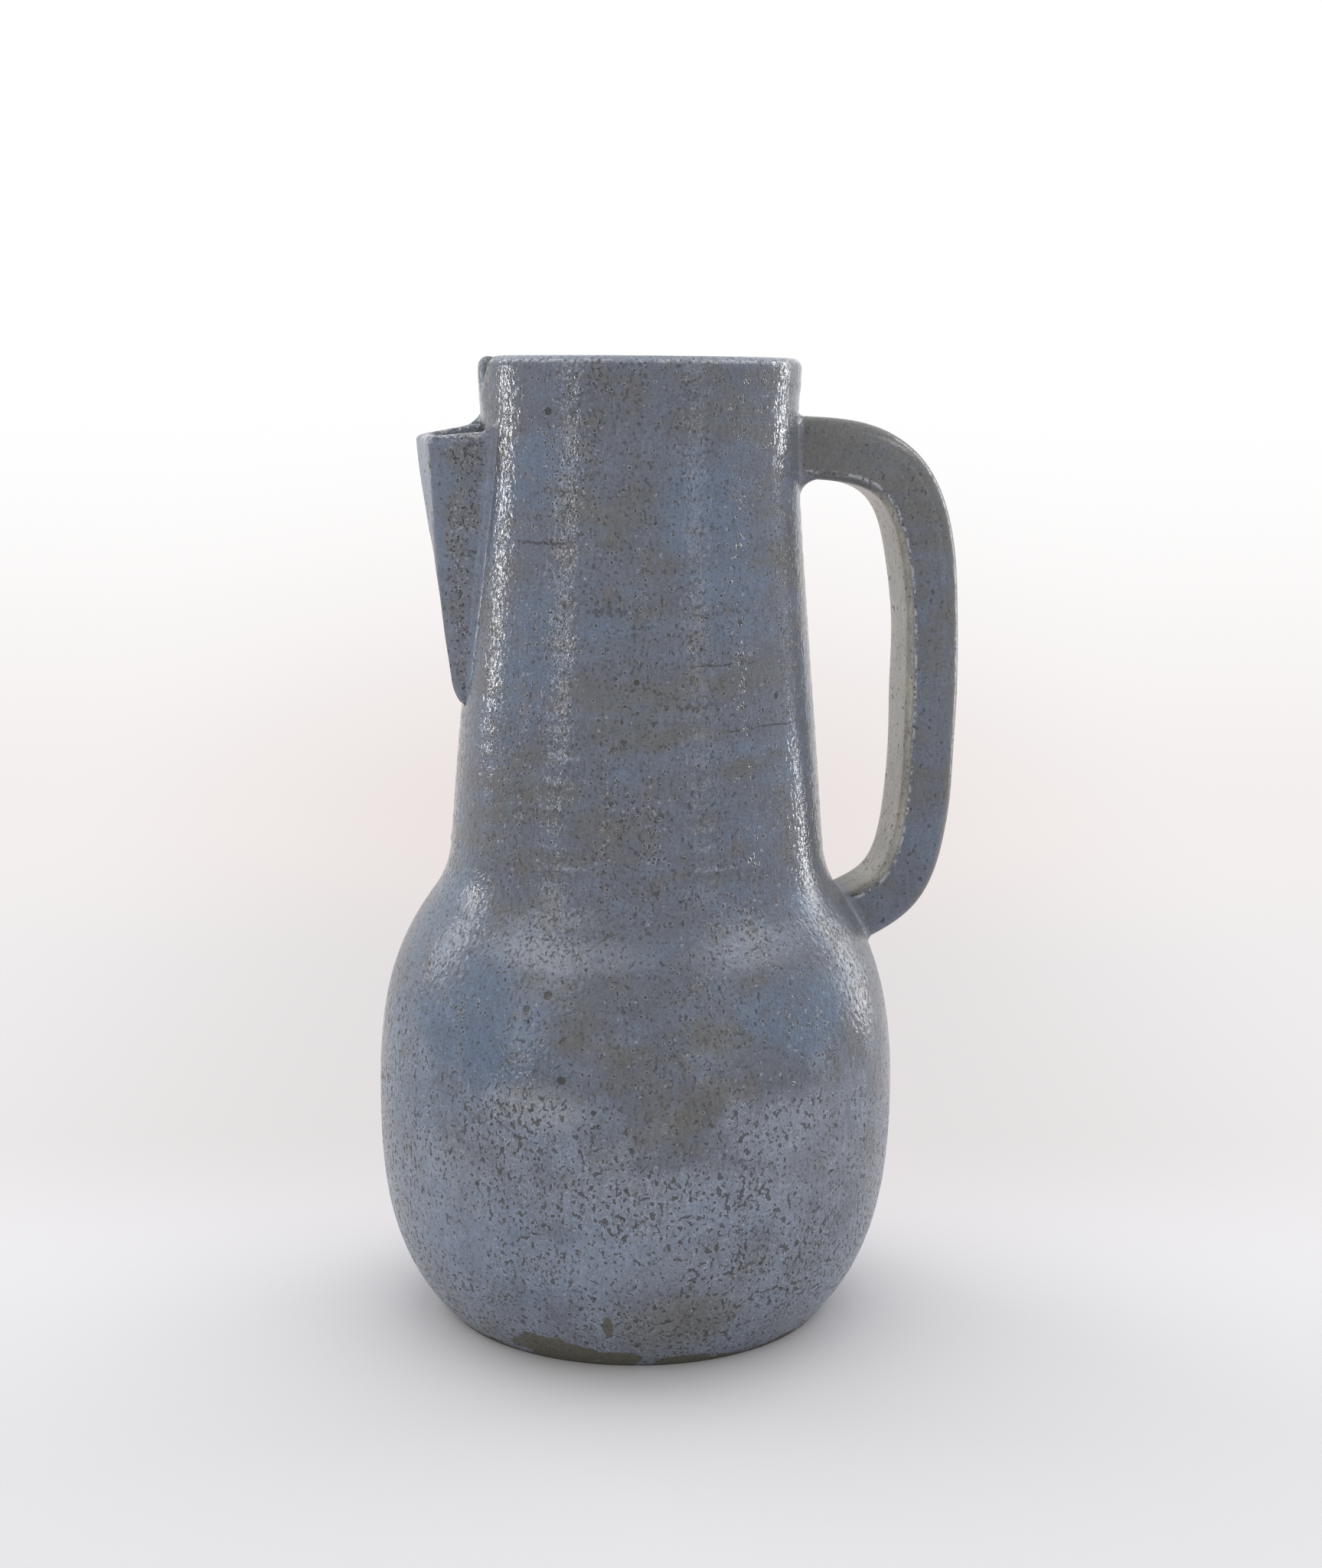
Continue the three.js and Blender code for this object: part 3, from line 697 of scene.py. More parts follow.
class Glaze(Shader):
    """Semi-gloss slate glaze: blue where it pooled, olive where it broke thin, speckled and pitted."""

    def __init__(self, name, scene, olive_bias):
        super().__init__(name)
        self.colours = scene.pitcher_glaze
        self.wall = Wall(scene.pitcher_body)
        self.coords = self.add("ShaderNodeTexCoord", output="Object")
        along = self.add("ShaderNodeSeparateXYZ", inputs={"Vector": self.coords}, output="X")
        self.height = along.beside("Z")
        self.azimuth = along.maths("ARCTAN2", along, 0.0 - along.beside("Y")) - scene.pitcher_stage.azimuth
        self.masks = {"height": self.height, "olive_bias": olive_bias}
        for key, pattern in PATTERNS.items():
            self.masks[key] = self.pattern(*pattern) - PATTERN_MIDDLE
        for key in VERTEX_MASKS:
            self.masks[key] = self.attribute(key)
        self.place_marks()
        for key, (span, weights) in MASKS.items():
            self.masks[key] = self.rise(self.total(weights), *span)
        self.join_masks()

    def pattern(self, stretch, shift, scale, detail, roughness):
        """Noise over the piece."""
        vector = self.add("ShaderNodeMapping",
                          inputs={"Vector": self.coords, "Scale": stretch, "Location": shift})
        return self.noise(vector, scale, detail, roughness)

    def total(self, weights):
        """Sum of the masks, each times its weight."""
        return sum(self.masks[key] * weight for key, weight in weights.items())

    def spot(self, azimuth, height, half_width, half_height):
        """Soft oval on the wall: 1 in its middle and 0 at its edge."""
        radius = self.wall.radius(height * MM)
        across = (self.azimuth - math.radians(azimuth)) * (radius / (half_width * MM))
        upward = (self.height - height * MM) / (half_height * MM)
        return self.fall(across * across + upward * upward, 0.0, 1.0)

    def wavering_line(self, azimuth, height, half_length, half_width):
        """Thin level line that wanders."""
        radius = self.wall.radius(height * MM)
        across = abs(self.azimuth - math.radians(azimuth)) * (radius / (half_length * MM))
        wander = self.masks["cloud"] * (LINE_WANDER * MM)
        upward = abs(self.height - height * MM + wander) / (half_width * MM)
        return self.fall(across, *LINE_ENDS) * self.fall(upward, *LINE_EDGES)

    def strongest(self, shape, places):
        """The strongest of several like marks at each point."""
        return reduce(Value.most, [shape(*place) for place in places])

    def place_marks(self):
        """Masks of what has its own place on the wall."""
        masks = self.masks
        for key, places in (("thin_patch", THIN_PATCHES), ("pale_patch", PALE_PATCHES),
                            ("milky_patch", MILKY_AND_LIT_PATCHES), ("cream_patch", CREAM_PATCHES),
                            ("worn_patch", WORN_PATCHES), ("bare_patch", BARE_PATCHES),
                            ("pinhole", PINHOLES)):
            masks[key] = self.strongest(self.spot, places)
        masks["pool"] = masks["pool"].most(self.strongest(self.spot, BLUE_POOLS))
        masks["pitted"] = masks["pitted"].most(self.strongest(self.spot, PITTED_PATCHES))
        masks["pit_row"] = self.strongest(self.wavering_line, PIT_ROWS)
        masks["on_neck"] = self.rise(self.height, *NECK_BEGINS)
        masks["shoulder"] = self.rise(self.height, *SHOULDER_BEGINS) * self.fall(self.height, *SHOULDER_ENDS)
        masks["band"] = masks["rings"] * masks["on_neck"]

    def join_masks(self):
        """Masks that are products, differences or the stronger of others."""
        masks = self.masks
        masks["neck_blue"] = masks["blue"] * masks["on_neck"]
        masks["neck_olive"] = masks["olive"] * masks["on_neck"]
        masks["clouded_skin"] = masks["skin"] * masks["cloud"]
        masks["rough_rims"] = (masks["pits_and_rims"] - masks["pits"]) * masks["rough"]
        # Painted highlight lines along the edges, broken into beads
        masks["beads"] = masks["edge"] * masks["beaded"]
        masks["scars"] = self.strongest(self.wavering_line, SCARS) * masks["scarred"]
        masks["cracks"] = self.strongest(self.wavering_line, CRACKS) * masks["cracked"]
        cells = self.add("ShaderNodeTexVoronoi", inputs={"Vector": self.coords, "Scale": HOLE_SCALE})
        masks["holes"] = self.fall(cells, *HOLE_EDGE).most(masks["pinholes"])
        masks["crater_rims"], masks["craters"] = self.craters(self.total(CRATER_DENSITY) + CRATER_BASE)
        worn_foot = self.fall(self.height - masks["cloud"] * FOOT_WANDER, *FOOT_BARE)
        masks["bare"] = masks["bare_clay"].most(worn_foot)
        masks["waves"] = (self.total(WAVES) + WAVES_MIDDLE) * (1.0 - masks["smooth"] * SMOOTHING)

    def craters(self, density):
        """Burst bubbles where density says so: the raised ring and the hollow inside it."""
        wander = self.pattern(*PATTERNS["cloud"]).beside("Color")
        place = self.add("ShaderNodeVectorMath", {"operation": "MULTIPLY_ADD"},
                         {0: wander, 1: (CRATER_WOBBLE,) * 3, 2: self.coords})
        distance = self.add("ShaderNodeTexVoronoi", inputs={"Vector": place, "Scale": CRATER_SCALE})
        chance = self.add("ShaderNodeSeparateColor", inputs={"Color": distance.beside("Color")})
        present = self.rise(density - chance, *CRATER_CHANCE)
        hollow = self.fall(distance, *CRATER_EDGE)
        rim = self.fall(distance, *CRATER_RIM_EDGE) - hollow
        return rim * present, hollow * present

    def lay(self, tone, coats):
        """Lays coats of colour over a tone."""
        for name, weights in coats:
            tone = self.blend(tone, opaque(getattr(self.colours, name)), self.total(weights))
        return tone

    def surface(self):
        """Principled shader with all the layers of the glaze."""
        tone = self.lay(opaque(self.colours.slate), COATS)
        shade = self.total(SHADE) + LIGHTNESS
        grey = self.add("ShaderNodeCombineColor", inputs={0: shade, 1: shade, 2: shade})
        tone = self.blend(tone, grey, 1.0, "MULTIPLY")
        tone = self.lay(tone, DARK_COATS)
        normal = self.add("ShaderNodeBump", inputs={
            "Strength": 1.0, "Distance": PEEL_DEPTH, "Height": self.total(RELIEF)})
        roughness = self.total(ROUGHNESS) + GLAZE_ROUGHNESS
        return self.add("ShaderNodeBsdfPrincipled", inputs={
            "Base Color": tone, "Roughness": roughness, "Normal": normal})


def glaze(name, olive_bias):
    """The glaze by that name, made at its first use."""
    made = bpy.data.materials.get(name)
    if made:
        return made
    recipe = Glaze(name, bpy.context.scene, olive_bias)
    return recipe.finish(recipe.surface())


def slate_glaze():
    return glaze("mottled_slate", 0.0)


def olive_glaze():
    return glaze("mottled_olive", OLIVE_BIAS)


# Belly and neck

# Rings of the floor and the foot, as shares of their radius
FLOOR_RINGS = (0.0, 0.25, 0.5, 0.75, 0.93)
BASE_RINGS = (0.0, 0.3, 0.6, 0.85, 0.97)

# Glaze on the lip, as shares of the way over it; the band of painted sheen over its outer rounding; and the
# step that has the painted white highlight line
LIP_INSIDE_FROM = 0.35
LIP_INSIDE_END = 0.7
BRIM_FROM = 0.05
BRIM_FULL = 0.2
BRIM_END = 0.6
BRIM_SHEEN = 0.8
BRIM_LINE = 1

# The dip in the rim: its reach in depths, and its saddle of painted shade in the dark inside glaze, in shares
# of depth and wall
DIP_REACH = 3.0
SHADED_SADDLE_DIP = (0.15, 0.5)
SHADED_SADDLE_FROM = 0.1
SHADED_SADDLE_FULL = 0.35


def mark_wall(bm, wall):
    """Moves every point of a thrown piece by the potter's marks at its place."""
    for vert in bm.verts:
        azimuth = math.atan2(vert.co.y, vert.co.x)
        out = math.hypot(vert.co.x, vert.co.y)
        if out > WELD:
            grow = 1.0 + wall.marks(azimuth, vert.co.z) / out
            vert.co.x *= grow
            vert.co.y *= grow


class PITCHER_OT_belly(bpy.types.Operator):
    """Turns the belly with its floor and flat foot"""
    bl_idname = "pitcher.belly"
    bl_label = "Belly"

    def execute(self, context):
        body = context.scene.pitcher_body
        wall = Wall(body)
        outside = wall.outside[:SEAM_PLACE + 1]
        inner_wall = sideways(wall.outside, body.wall)[:SEAM_PLACE + 1]
        hollow = [point for point in inner_wall if point.z > body.floor]
        floor = [Vector((hollow[0].x * part, 0.0, body.floor)) for part in FLOOR_RINGS]
        base = [Vector((body.foot_radius * part, 0.0, 0.0)) for part in BASE_RINGS]
        inner = floor + hollow
        points = base + outside + inner[::-1]
        insides = [0.0] * (len(base) + len(outside)) + [1.0] * len(inner)
        bm = bmesh.new()
        spin_outline(bm, points, {"inside": insides}, closed=False)
        mark_wall(bm, wall)
        finish_piece(bm, "belly_wall", slate_glaze(), "slate_glaze", "belly")
        return {"FINISHED"}


def dip_rim(bm, body):
    """Presses the dip over the spout into the rim, and paints its saddle with the dark inside glaze, partly
    as painted shade.
    """
    inside = bm.verts.layers.float["inside"]
    reach = DIP_REACH * body.notch_depth
    for vert in bm.verts:
        if vert.co.x < 0.0 and vert.co.z > body.rim_height - reach:
            part = ease(vert.co.z, body.rim_height - reach, body.rim_height)
            across = abs(vert.co.y) / (body.notch_width / 2.0)
            dip = part * (1.0 - ease(across, 0.0, 1.0))
            within = body.rim_radius - math.hypot(vert.co.x, vert.co.y)
            # Painted shade: the dark inside glaze carried over the dip's saddle, where the rim falls into
            # shade
            shaded_saddle = ease(dip, *SHADED_SADDLE_DIP)
            shaded_saddle *= ease(within, SHADED_SADDLE_FROM * body.wall, SHADED_SADDLE_FULL * body.wall)
            vert[inside] = max(vert[inside], shaded_saddle)
            vert.co.z -= body.notch_depth * dip


class PITCHER_OT_neck(bpy.types.Operator):
    """Turns the neck with its rounded rim, the dip in it and the pouring hole"""
    bl_idname = "pitcher.neck"
    bl_label = "Neck"

    def execute(self, context):
        body = context.scene.pitcher_body
        beak = Beak(context)
        wall = beak.wall
        outside = wall.outside[SEAM_PLACE:]
        inner = sideways(wall.outside, body.wall)[SEAM_PLACE:]
        middle = (outside[-1] + inner[-1]) / 2.0
        lip = []
        insides = [0.0] * len(outside)
        brim_sheen = [0.0] * len(outside)
        for step in range(1, LIP_STEPS):
            part = step / LIP_STEPS
            out = Vector((math.cos(part * math.pi), 0.0, math.sin(part * math.pi)))
            lip.append(middle + out * body.wall / 2.0)
            insides.append(ease(part, LIP_INSIDE_FROM, LIP_INSIDE_END))
            # Painted sheen: a pale band over the lip's outer side and top, where the light from above catches
            # it
            outer_brim = ease(part, BRIM_FROM, BRIM_FULL) * (1.0 - ease(part, LIP_INSIDE_FROM, BRIM_END))
            brim_sheen.append(BRIM_SHEEN * outer_brim)
        points = outside + lip + inner[::-1]
        insides += [1.0] * len(inner)
        brim_sheen += [0.0] * len(inner)
        # Painted highlight: a white line round one step of the lip
        lines = [float(place == len(outside) + BRIM_LINE) for place in range(len(points))]
        bm = bmesh.new()
        spin_outline(bm, points, {"inside": insides, "milky": brim_sheen, "edge": lines}, closed=True)
        beak.open_wall(bm)
        mark_wall(bm, wall)
        dip_rim(bm, body)
        finish_piece(bm, "neck_wall", slate_glaze(), "slate_glaze", "neck")
        return {"FINISHED"}


# Spout

# Steps of the mesh
BEAK_STEPS = 60
CHEEK_STEPS = 12
CORNER_STEPS = 5
NOSE_STEPS = 4
EDGE_STEPS = 4

# Sizes in metres, and a scale of noise
BURIED = 0.0015
SLOT = 0.0003
CHANNEL_FADE = 0.016
TOE_ROUND = 0.007
TOE_CORNER = 0.0035
LIP_CORNER = 0.0016
# Band under the spout's lip that takes the painted white highlight line
LIP_LINE_LOW = 0.002
LIP_LINE_HIGH = 0.0005
BEAK_LUMP = 0.0004
BEAK_LUMP_SCALE = 84.0

# Shares of the spout's height, its nose, its slab, its channel and a corner's reach
KEEL_FADE = (0.35, 1.05)
CORNER_FADE = 0.9
FLAT_CUT = 0.85
CHANNEL_TIP = 0.9
CHANNEL_CORNER = 0.5
ROUND_PULL = 2.0 / 3.0

# Signs of Y on the side towards the camera and on the other one
NEAR_SIDE = -1.0
FAR_SIDE = 1.0

# Glaze on the cheeks, as shares of the way from the wall to the nose, and the height where the blue ends
STRIP_BEGINS = (0.12, 0.36)
STRIP_ENDS = (0.52, 0.8)
STRIP_WAVER = 0.4
STRIP_SCALE = 120.0
STRIP_OLIVE = 0.55
NOSE_POOL = (0.55, 0.8)
NOSE_SMOOTH = (0.7, 0.8)
POOL_END = 0.236
POOL_WAVER = 0.005
# Painted light: pale mixed into the spout and into the fillets of spout and handle, lifting the shade in
# these corners
PAINTED_LIGHT_IN_NOOKS = 0.28


class Beak:
    """Shape of the spout, which points along -X: distances out from the axis over height."""

    def __init__(self, context):
        self.body = context.scene.pitcher_body
        self.spout = context.scene.pitcher_spout
        self.wall = Wall(self.body)
        self.lip = self.body.rim_height - self.spout.lip_drop
        self.toe = self.lip - self.spout.height
        self.toe_reach = self.wall.radius(self.toe) + self.spout.toe_out
        fits = 2.0 * self.spout.slab
        slope = (self.spout.width - self.spout.toe_width) / self.spout.height
        self.channel_end = self.toe + (fits - self.spout.toe_width) / slope

    def part(self, height):
        return (height - self.toe) / (self.lip - self.toe)

    def toe_rounding(self, height):
        """0 at the toe's end and 1 where its rounding begins."""
        short = 1.0 - min(max((height - self.toe) / TOE_ROUND, 0.0), 1.0)
        return math.sqrt(1.0 - short * short)

    def nose(self, height):
        """Distance of the nose from the axis, which bulges most half way up."""
        part = self.part(height)
        half_way = 4.0 * part * (1.0 - part)
        plain = mix(self.toe_reach, self.spout.reach, part) + self.spout.bulge * half_way
        return mix(self.wall.radius(height), plain, self.toe_rounding(height))

    def half_width(self, height):
        """Half width where the cheeks meet the wall."""
        plain = mix(self.spout.toe_width, self.spout.width, self.part(height)) / 2.0
        return max(plain * self.toe_rounding(height), 2.0 * SLOT)

    def half_nose(self, height):
        """Half width of the nose's flat, which fades into a keel towards the toe."""
        opened = ease(self.part(height), *KEEL_FADE)
        plain = mix(self.spout.keel_width, self.spout.width, opened) / 2.0
        return min(plain, self.half_width(height))

    def channel_half(self, height):
        return self.half_width(height) - self.spout.slab

    def lip_height(self, out, across):
        """Height of the lip at a distance from the axis; it rises to the neck and leans to the near side."""
        part = (self.spout.reach - out) / (self.spout.reach - self.wall.radius(self.lip))
        return self.lip + part * (self.spout.lip_rise + self.spout.lip_tilt * across / self.spout.width)

    def half_section(self, back, nose, half_back, half_nose, cut):
        """One side of a level section, from the wall along the cheek to the middle of the nose."""
        start = Vector((back, half_back, 0.0))
        corner = Vector((nose, half_nose, 0.0))
        along = (start - corner).normalized()
        cheek_end = corner + along * cut
        flat_start = corner - Vector((0.0, min(cut, half_nose * FLAT_CUT), 0.0))
        points = [start.lerp(cheek_end, step / CHEEK_STEPS) for step in range(CHEEK_STEPS)]
        first = cheek_end.lerp(corner, ROUND_PULL)
        second = flat_start.lerp(corner, ROUND_PULL)
        points += interpolate_bezier(cheek_end, first, second, flat_start, CORNER_STEPS)
        middle = Vector((nose, 0.0, 0.0))
        points += [flat_start.lerp(middle, step / NOSE_STEPS) for step in range(1, NOSE_STEPS)]
        return points + [middle]

    def section(self, level, inset=0.0):
        """Closed U-shaped ring: out along one cheek, back along the other, and round the channel."""
        height = mix(self.toe, self.lip, level)
        slab = self.spout.slab
        nose = self.nose(height)
        half_back = self.half_width(height)
        half_nose = self.half_nose(height)
        cut = mix(TOE_CORNER, LIP_CORNER, ease(level, 0.0, CORNER_FADE))
        back = math.sqrt((self.wall.radius(height) - BURIED) ** 2 - half_back ** 2)
        outer = self.half_section(back, nose - inset, half_back - inset, half_nose - inset, cut)
        opened = ease(height, self.channel_end, self.channel_end + CHANNEL_FADE)
        deep = mix(back + SLOT, max(nose - slab, back + SLOT), opened) + inset
        wide = max(half_back - slab, SLOT) + inset
        tip = max(min(half_nose, half_back) - slab * CHANNEL_TIP, SLOT) + inset
        inner = self.half_section(back, deep, wide, tip, min(cut, wide * CHANNEL_CORNER))
        mirrored = [Vector((point.x, -point.y, 0.0)) for point in outer[-2::-1]]
        inner_mirrored = [Vector((point.x, -point.y, 0.0)) for point in inner]
        flat = outer + mirrored + inner_mirrored + inner[-2::-1]
        ring_points = []
        for point in flat:
            top = self.lip_height(point.x, point.y)
            upright = mix(self.toe, top, level)
            ring_points.append(Vector((-point.x, point.y, upright)))
        return ring_points

    def open_wall(self, bm):
        """Opens the pouring hole through the neck's wall behind the spout."""
        faces = []
        for face in bm.faces:
            middle = face.calc_center_median()
            if middle.x < 0.0 and self.channel_end < middle.z < self.lip:
                turned = abs(math.pi - abs(math.atan2(middle.y, middle.x)))
                if turned * self.wall.radius(middle.z) < self.channel_half(middle.z) + BURIED:
                    faces.append(face)
        bmesh.ops.delete(bm, geom=faces, context="FACES")
        bmesh.ops.bridge_loops(bm, edges=[edge for edge in bm.edges if edge.is_boundary])


class PITCHER_OT_spout(bpy.types.Operator):
    """Folds the beak spout and rounds its lip"""
    bl_idname = "pitcher.spout"
    bl_label = "Spout"

    def execute(self, context):
        beak = Beak(context)
        round_off = beak.spout.edge
        top = 1.0 - round_off / beak.spout.height
        rings = [beak.section(top * step / BEAK_STEPS) for step in range(BEAK_STEPS + 1)]
        for step in range(1, EDGE_STEPS + 1):
            turn = step / EDGE_STEPS * math.pi / 2.0
            level = top + (1.0 - top) * math.sin(turn)
            rings.append(beak.section(level, round_off * (1.0 - math.cos(turn))))
        bm = bmesh.new()
        loft(bm, rings)
        edge, thin, pitted, pool, smooth, milky = float_layers(
            bm, "edge", "thin", "pitted", "pool", "smooth", "milky")
        for vert in bm.verts:
            at_wall = beak.wall.radius(vert.co.z)
            out = (-vert.co.x - at_wall) / (beak.nose(vert.co.z) - at_wall + WELD)
            ragged = out + STRIP_WAVER * noise.noise(vert.co * STRIP_SCALE)
            strip = ease(ragged, *STRIP_BEGINS) * (1.0 - ease(ragged, *STRIP_ENDS))
            vert[pitted] = strip
            vert[thin] = strip * STRIP_OLIVE
            lumps = noise.noise(vert.co * BEAK_LUMP_SCALE)
            wavering = vert.co.z + POOL_WAVER * lumps
            pooled = ease(wavering, POOL_END - POOL_WAVER, POOL_END + POOL_WAVER)
            vert[pool] = ease(ragged, *NOSE_POOL) * pooled
            vert[smooth] = ease(out, *NOSE_SMOOTH)
            # Painted light: the spout lightened against the shade beside the neck
            vert[milky] = PAINTED_LIGHT_IN_NOOKS
            vert.co.y *= 1.0 + lumps * BEAK_LUMP / beak.spout.width * 2.0
            vert.co.x -= lumps * BEAK_LUMP
            lip = beak.lip_height(-vert.co.x, vert.co.y)
            # Painted highlight: a white line just under the spout's lip
            vert[edge] = ease(vert.co.z, lip - LIP_LINE_LOW, lip - LIP_LINE_HIGH)
        piece = finish_piece(bm, "spout_beak", olive_glaze(), "olive_glaze", "spout")
        # Left out of mirror images, so that the lamp beside it shows in the neck
        piece.visible_glossy = False
        return {"FINISHED"}


# Clay smoothed into the corners between spout and neck

FILLET_STEPS = 10

# Sizes in metres
FILLET_SINK = 0.0002
CHEEK_SINK = 0.0004
FILLET_FOOT = 0.0015
FILLET_TAPER = 0.007

# Shares of the blue glaze, the fillet's reach, the spout's height and the sweep
FILLET_POOL = 0.7
FILLET_BURIED = 0.3
SWEEP_FROM = 0.86
SWEEP_CORNER = 0.5


def fillet_section(cheek_end, corner, wall_end, buried):
    """Hollow curve from a cheek to a wall, closed through a point inside the clay."""
    first = cheek_end.lerp(corner, ROUND_PULL)
    second = wall_end.lerp(corner, ROUND_PULL)
    return interpolate_bezier(cheek_end, first, second, wall_end, FILLET_STEPS) + [buried]


class PITCHER_OT_spout_fillets(bpy.types.Operator):
    """Smooths a coil of clay into the corner along each cheek of the spout"""
    bl_idname = "pitcher.spout_fillets"
    bl_label = "Spout fillets"

    def execute(self, context):
        beak = Beak(context)
        for name, node, side in (("spout_fillet_near", "spout_coil_near", NEAR_SIDE),
                                 ("spout_fillet_far", "spout_coil_far", FAR_SIDE)):
            bm = bmesh.new()
            pool, milky, smooth, edge = float_layers(bm, "pool", "milky", "smooth", "edge")
            rows = loft(bm, self.rings(beak, side))
            for place, row in enumerate(rows):
                for vert in row:
                    vert[pool] = FILLET_POOL
                    # Painted light: the fillet lightened against the shade in its corner
                    vert[milky] = PAINTED_LIGHT_IN_NOOKS
                    vert[smooth] = 1.0
                    # Painted highlight: a white line along the fillet's top edge
                    vert[edge] = ease(place, BEAK_STEPS - 1, BEAK_STEPS + 1)
            finish_piece(bm, name, slate_glaze(), "slate_glaze", node)
        return {"FINISHED"}

    def rings(self, beak, side):
        """Rings up the corner, then over the rounded top."""
        rings = [self.section(beak, side, step / BEAK_STEPS, 0.0) for step in range(BEAK_STEPS + 1)]
        for step in range(1, EDGE_STEPS + 1):
            rings.append(self.section(beak, side, 1.0, step / EDGE_STEPS * math.pi / 2.0))
        return rings

    def section(self, beak, side, level, turn):
        """Ring at a level of the corner, swept up the wall at the top; turn leads over the rounded edge."""
        wall = beak.wall
        edge = beak.spout.edge
        lip_out = wall.radius(beak.lip) + beak.spout.fillet
        high = beak.lip_height(lip_out, side * beak.spout.width / 2.0) - edge
        height = mix(beak.toe, high, level)
        on_beak = min(max(height, beak.toe), beak.lip)
        grown = mix(FILLET_FOOT, beak.spout.fillet, beak.part(on_beak))
        leg = grown * ease(height, beak.toe, beak.toe + FILLET_TAPER) - edge * (1.0 - math.cos(turn))
        leg = max(leg, 2.0 * FILLET_SINK)
        height += edge * math.sin(turn)
        sweep = beak.spout.lip_sweep * ease(level, SWEEP_FROM, 1.0)
        out = wall.radius(height)
        at_cheek = math.asin((beak.half_width(on_beak) - FILLET_SINK) / out)
        corner = wall.surface(math.pi - side * at_cheek, height + sweep * SWEEP_CORNER, -FILLET_SINK)
        wall_end = wall.surface(math.pi - side * (at_cheek + leg / out), height + sweep, -FILLET_SINK)
        taper = beak.half_width(on_beak) - beak.half_nose(on_beak)
        taper /= max(beak.nose(on_beak) - wall.radius(on_beak), leg)
        cheek_end = Vector((corner.x - leg, corner.y - side * (taper * leg + CHEEK_SINK), height))
        deep = leg * FILLET_BURIED
        buried = corner + Vector((deep + FILLET_SINK, -side * deep, 0.0))
        return fillet_section(cheek_end, corner, wall_end, buried)


# Handle

# Steps of the mesh
STRAP_STEPS = 60
STRAP_CORNER_STEPS = 6
STRAP_FACE_STEPS = 6

# Sizes in metres, and a scale of noise
ROOT_DEPTH = 0.004
STRAP_LUMP = 0.00035
STRAP_LUMP_SCALE = 45.0
MEET_REACH = 0.03
FOOT_SMEAR = 0.0045

# Reach of the fillets along the wall, as a share of their reach along the strap
WALL_LEG = 0.8

# How far a place faces sideways, or out or in, where its glaze changes and where the painted highlight line
# runs along the inner edges
GLINT_BEAD_EDGE = (0.85, 0.95)
FLAT_FLANK = (0.98, 0.999)
FACING = (0.2, 0.7)

# Distances below the strap's root, in thicknesses, between which the arm's glaze turns olive
ARM_FROM = 1.6
ARM_FULL = 0.4


class Strap:
    """Middle line, directions and section of the handle."""

    def __init__(self, context):
        self.body = context.scene.pitcher_body
        self.sizes = context.scene.pitcher_handle
        self.wall = Wall(self.body)
        sizes = self.sizes
        turn = Matrix.Rotation(-sizes.swing, 3, "Z")
        self.arm = turn @ Vector((1.0, 0.0, 0.0))
        self.across = turn @ Vector((0.0, 1.0, 0.0))
        self.landing = self.arm * math.cos(sizes.foot_slope) + UP * math.sin(sizes.foot_slope)
        self.top = self.body.rim_height - sizes.root_drop
        self.grip_height = self.top - sizes.grip_drop
        self.root = self.arm * self.wall.radius(self.top) + UP * self.top
        self.foot = self.arm * self.wall.radius(sizes.foot_height) + UP * sizes.foot_height

    def middle_line(self):
        """Points of the middle line, from inside the neck to inside the shoulder."""
        sizes = self.sizes
        reach = self.wall.radius(self.grip_height) + sizes.finger_gap + sizes.thick / 2.0
        grip = self.arm * reach + UP * self.grip_height
        arm_pull = sizes.arm_fullness * (reach - self.wall.radius(self.top))
        foot_pull = sizes.foot_fullness * (reach - self.wall.radius(sizes.foot_height))
        above = grip + UP * sizes.rise_fullness * (self.top - self.grip_height)
        below = grip - UP * sizes.fall_fullness * (self.grip_height - sizes.foot_height)
        points = [self.root - self.arm * ROOT_DEPTH]
        points += interpolate_bezier(self.root, self.root + self.arm * arm_pull, above, grip, STRAP_STEPS)
        outside_foot = self.foot + self.landing * foot_pull
        points += interpolate_bezier(grip, below, outside_foot, self.foot, STRAP_STEPS)[1:]
        points.append(self.foot - self.landing * ROOT_DEPTH)
        return points

    def thickness(self, point):
        return mix(self.sizes.thick, self.sizes.root_thick, ease(point.z, self.grip_height, self.top))

    def outline(self, thick):
        """Rounded oblong as places across and through the strap, each with the direction that it faces."""
        half_width = self.sizes.width / 2.0
        half_thick = thick / 2.0
        inner, outer = self.sizes.edge, self.sizes.outer_edge
        arcs = []
        corners = ((1.0, 1.0, inner), (-1.0, 1.0, inner), (-1.0, -1.0, outer), (1.0, -1.0, outer))
        for quarter, (side, face, edge) in enumerate(corners):
            middle = Vector((side * (half_width - edge), face * (half_thick - edge)))
            arc = []
            for step in range(STRAP_CORNER_STEPS + 1):
                turn = (quarter + step / STRAP_CORNER_STEPS) * math.pi / 2.0
                facing = Vector((math.cos(turn), math.sin(turn)))
                arc.append((middle + facing * edge, facing))
            arcs.append(arc)
        places = []
        for arc, following in zip(arcs, arcs[1:] + arcs[:1]):
            places += arc
            end, facing = arc[-1]
            start = following[0][0]
            for step in range(1, STRAP_FACE_STEPS):
                places.append((end.lerp(start, step / STRAP_FACE_STEPS), facing))
        return places


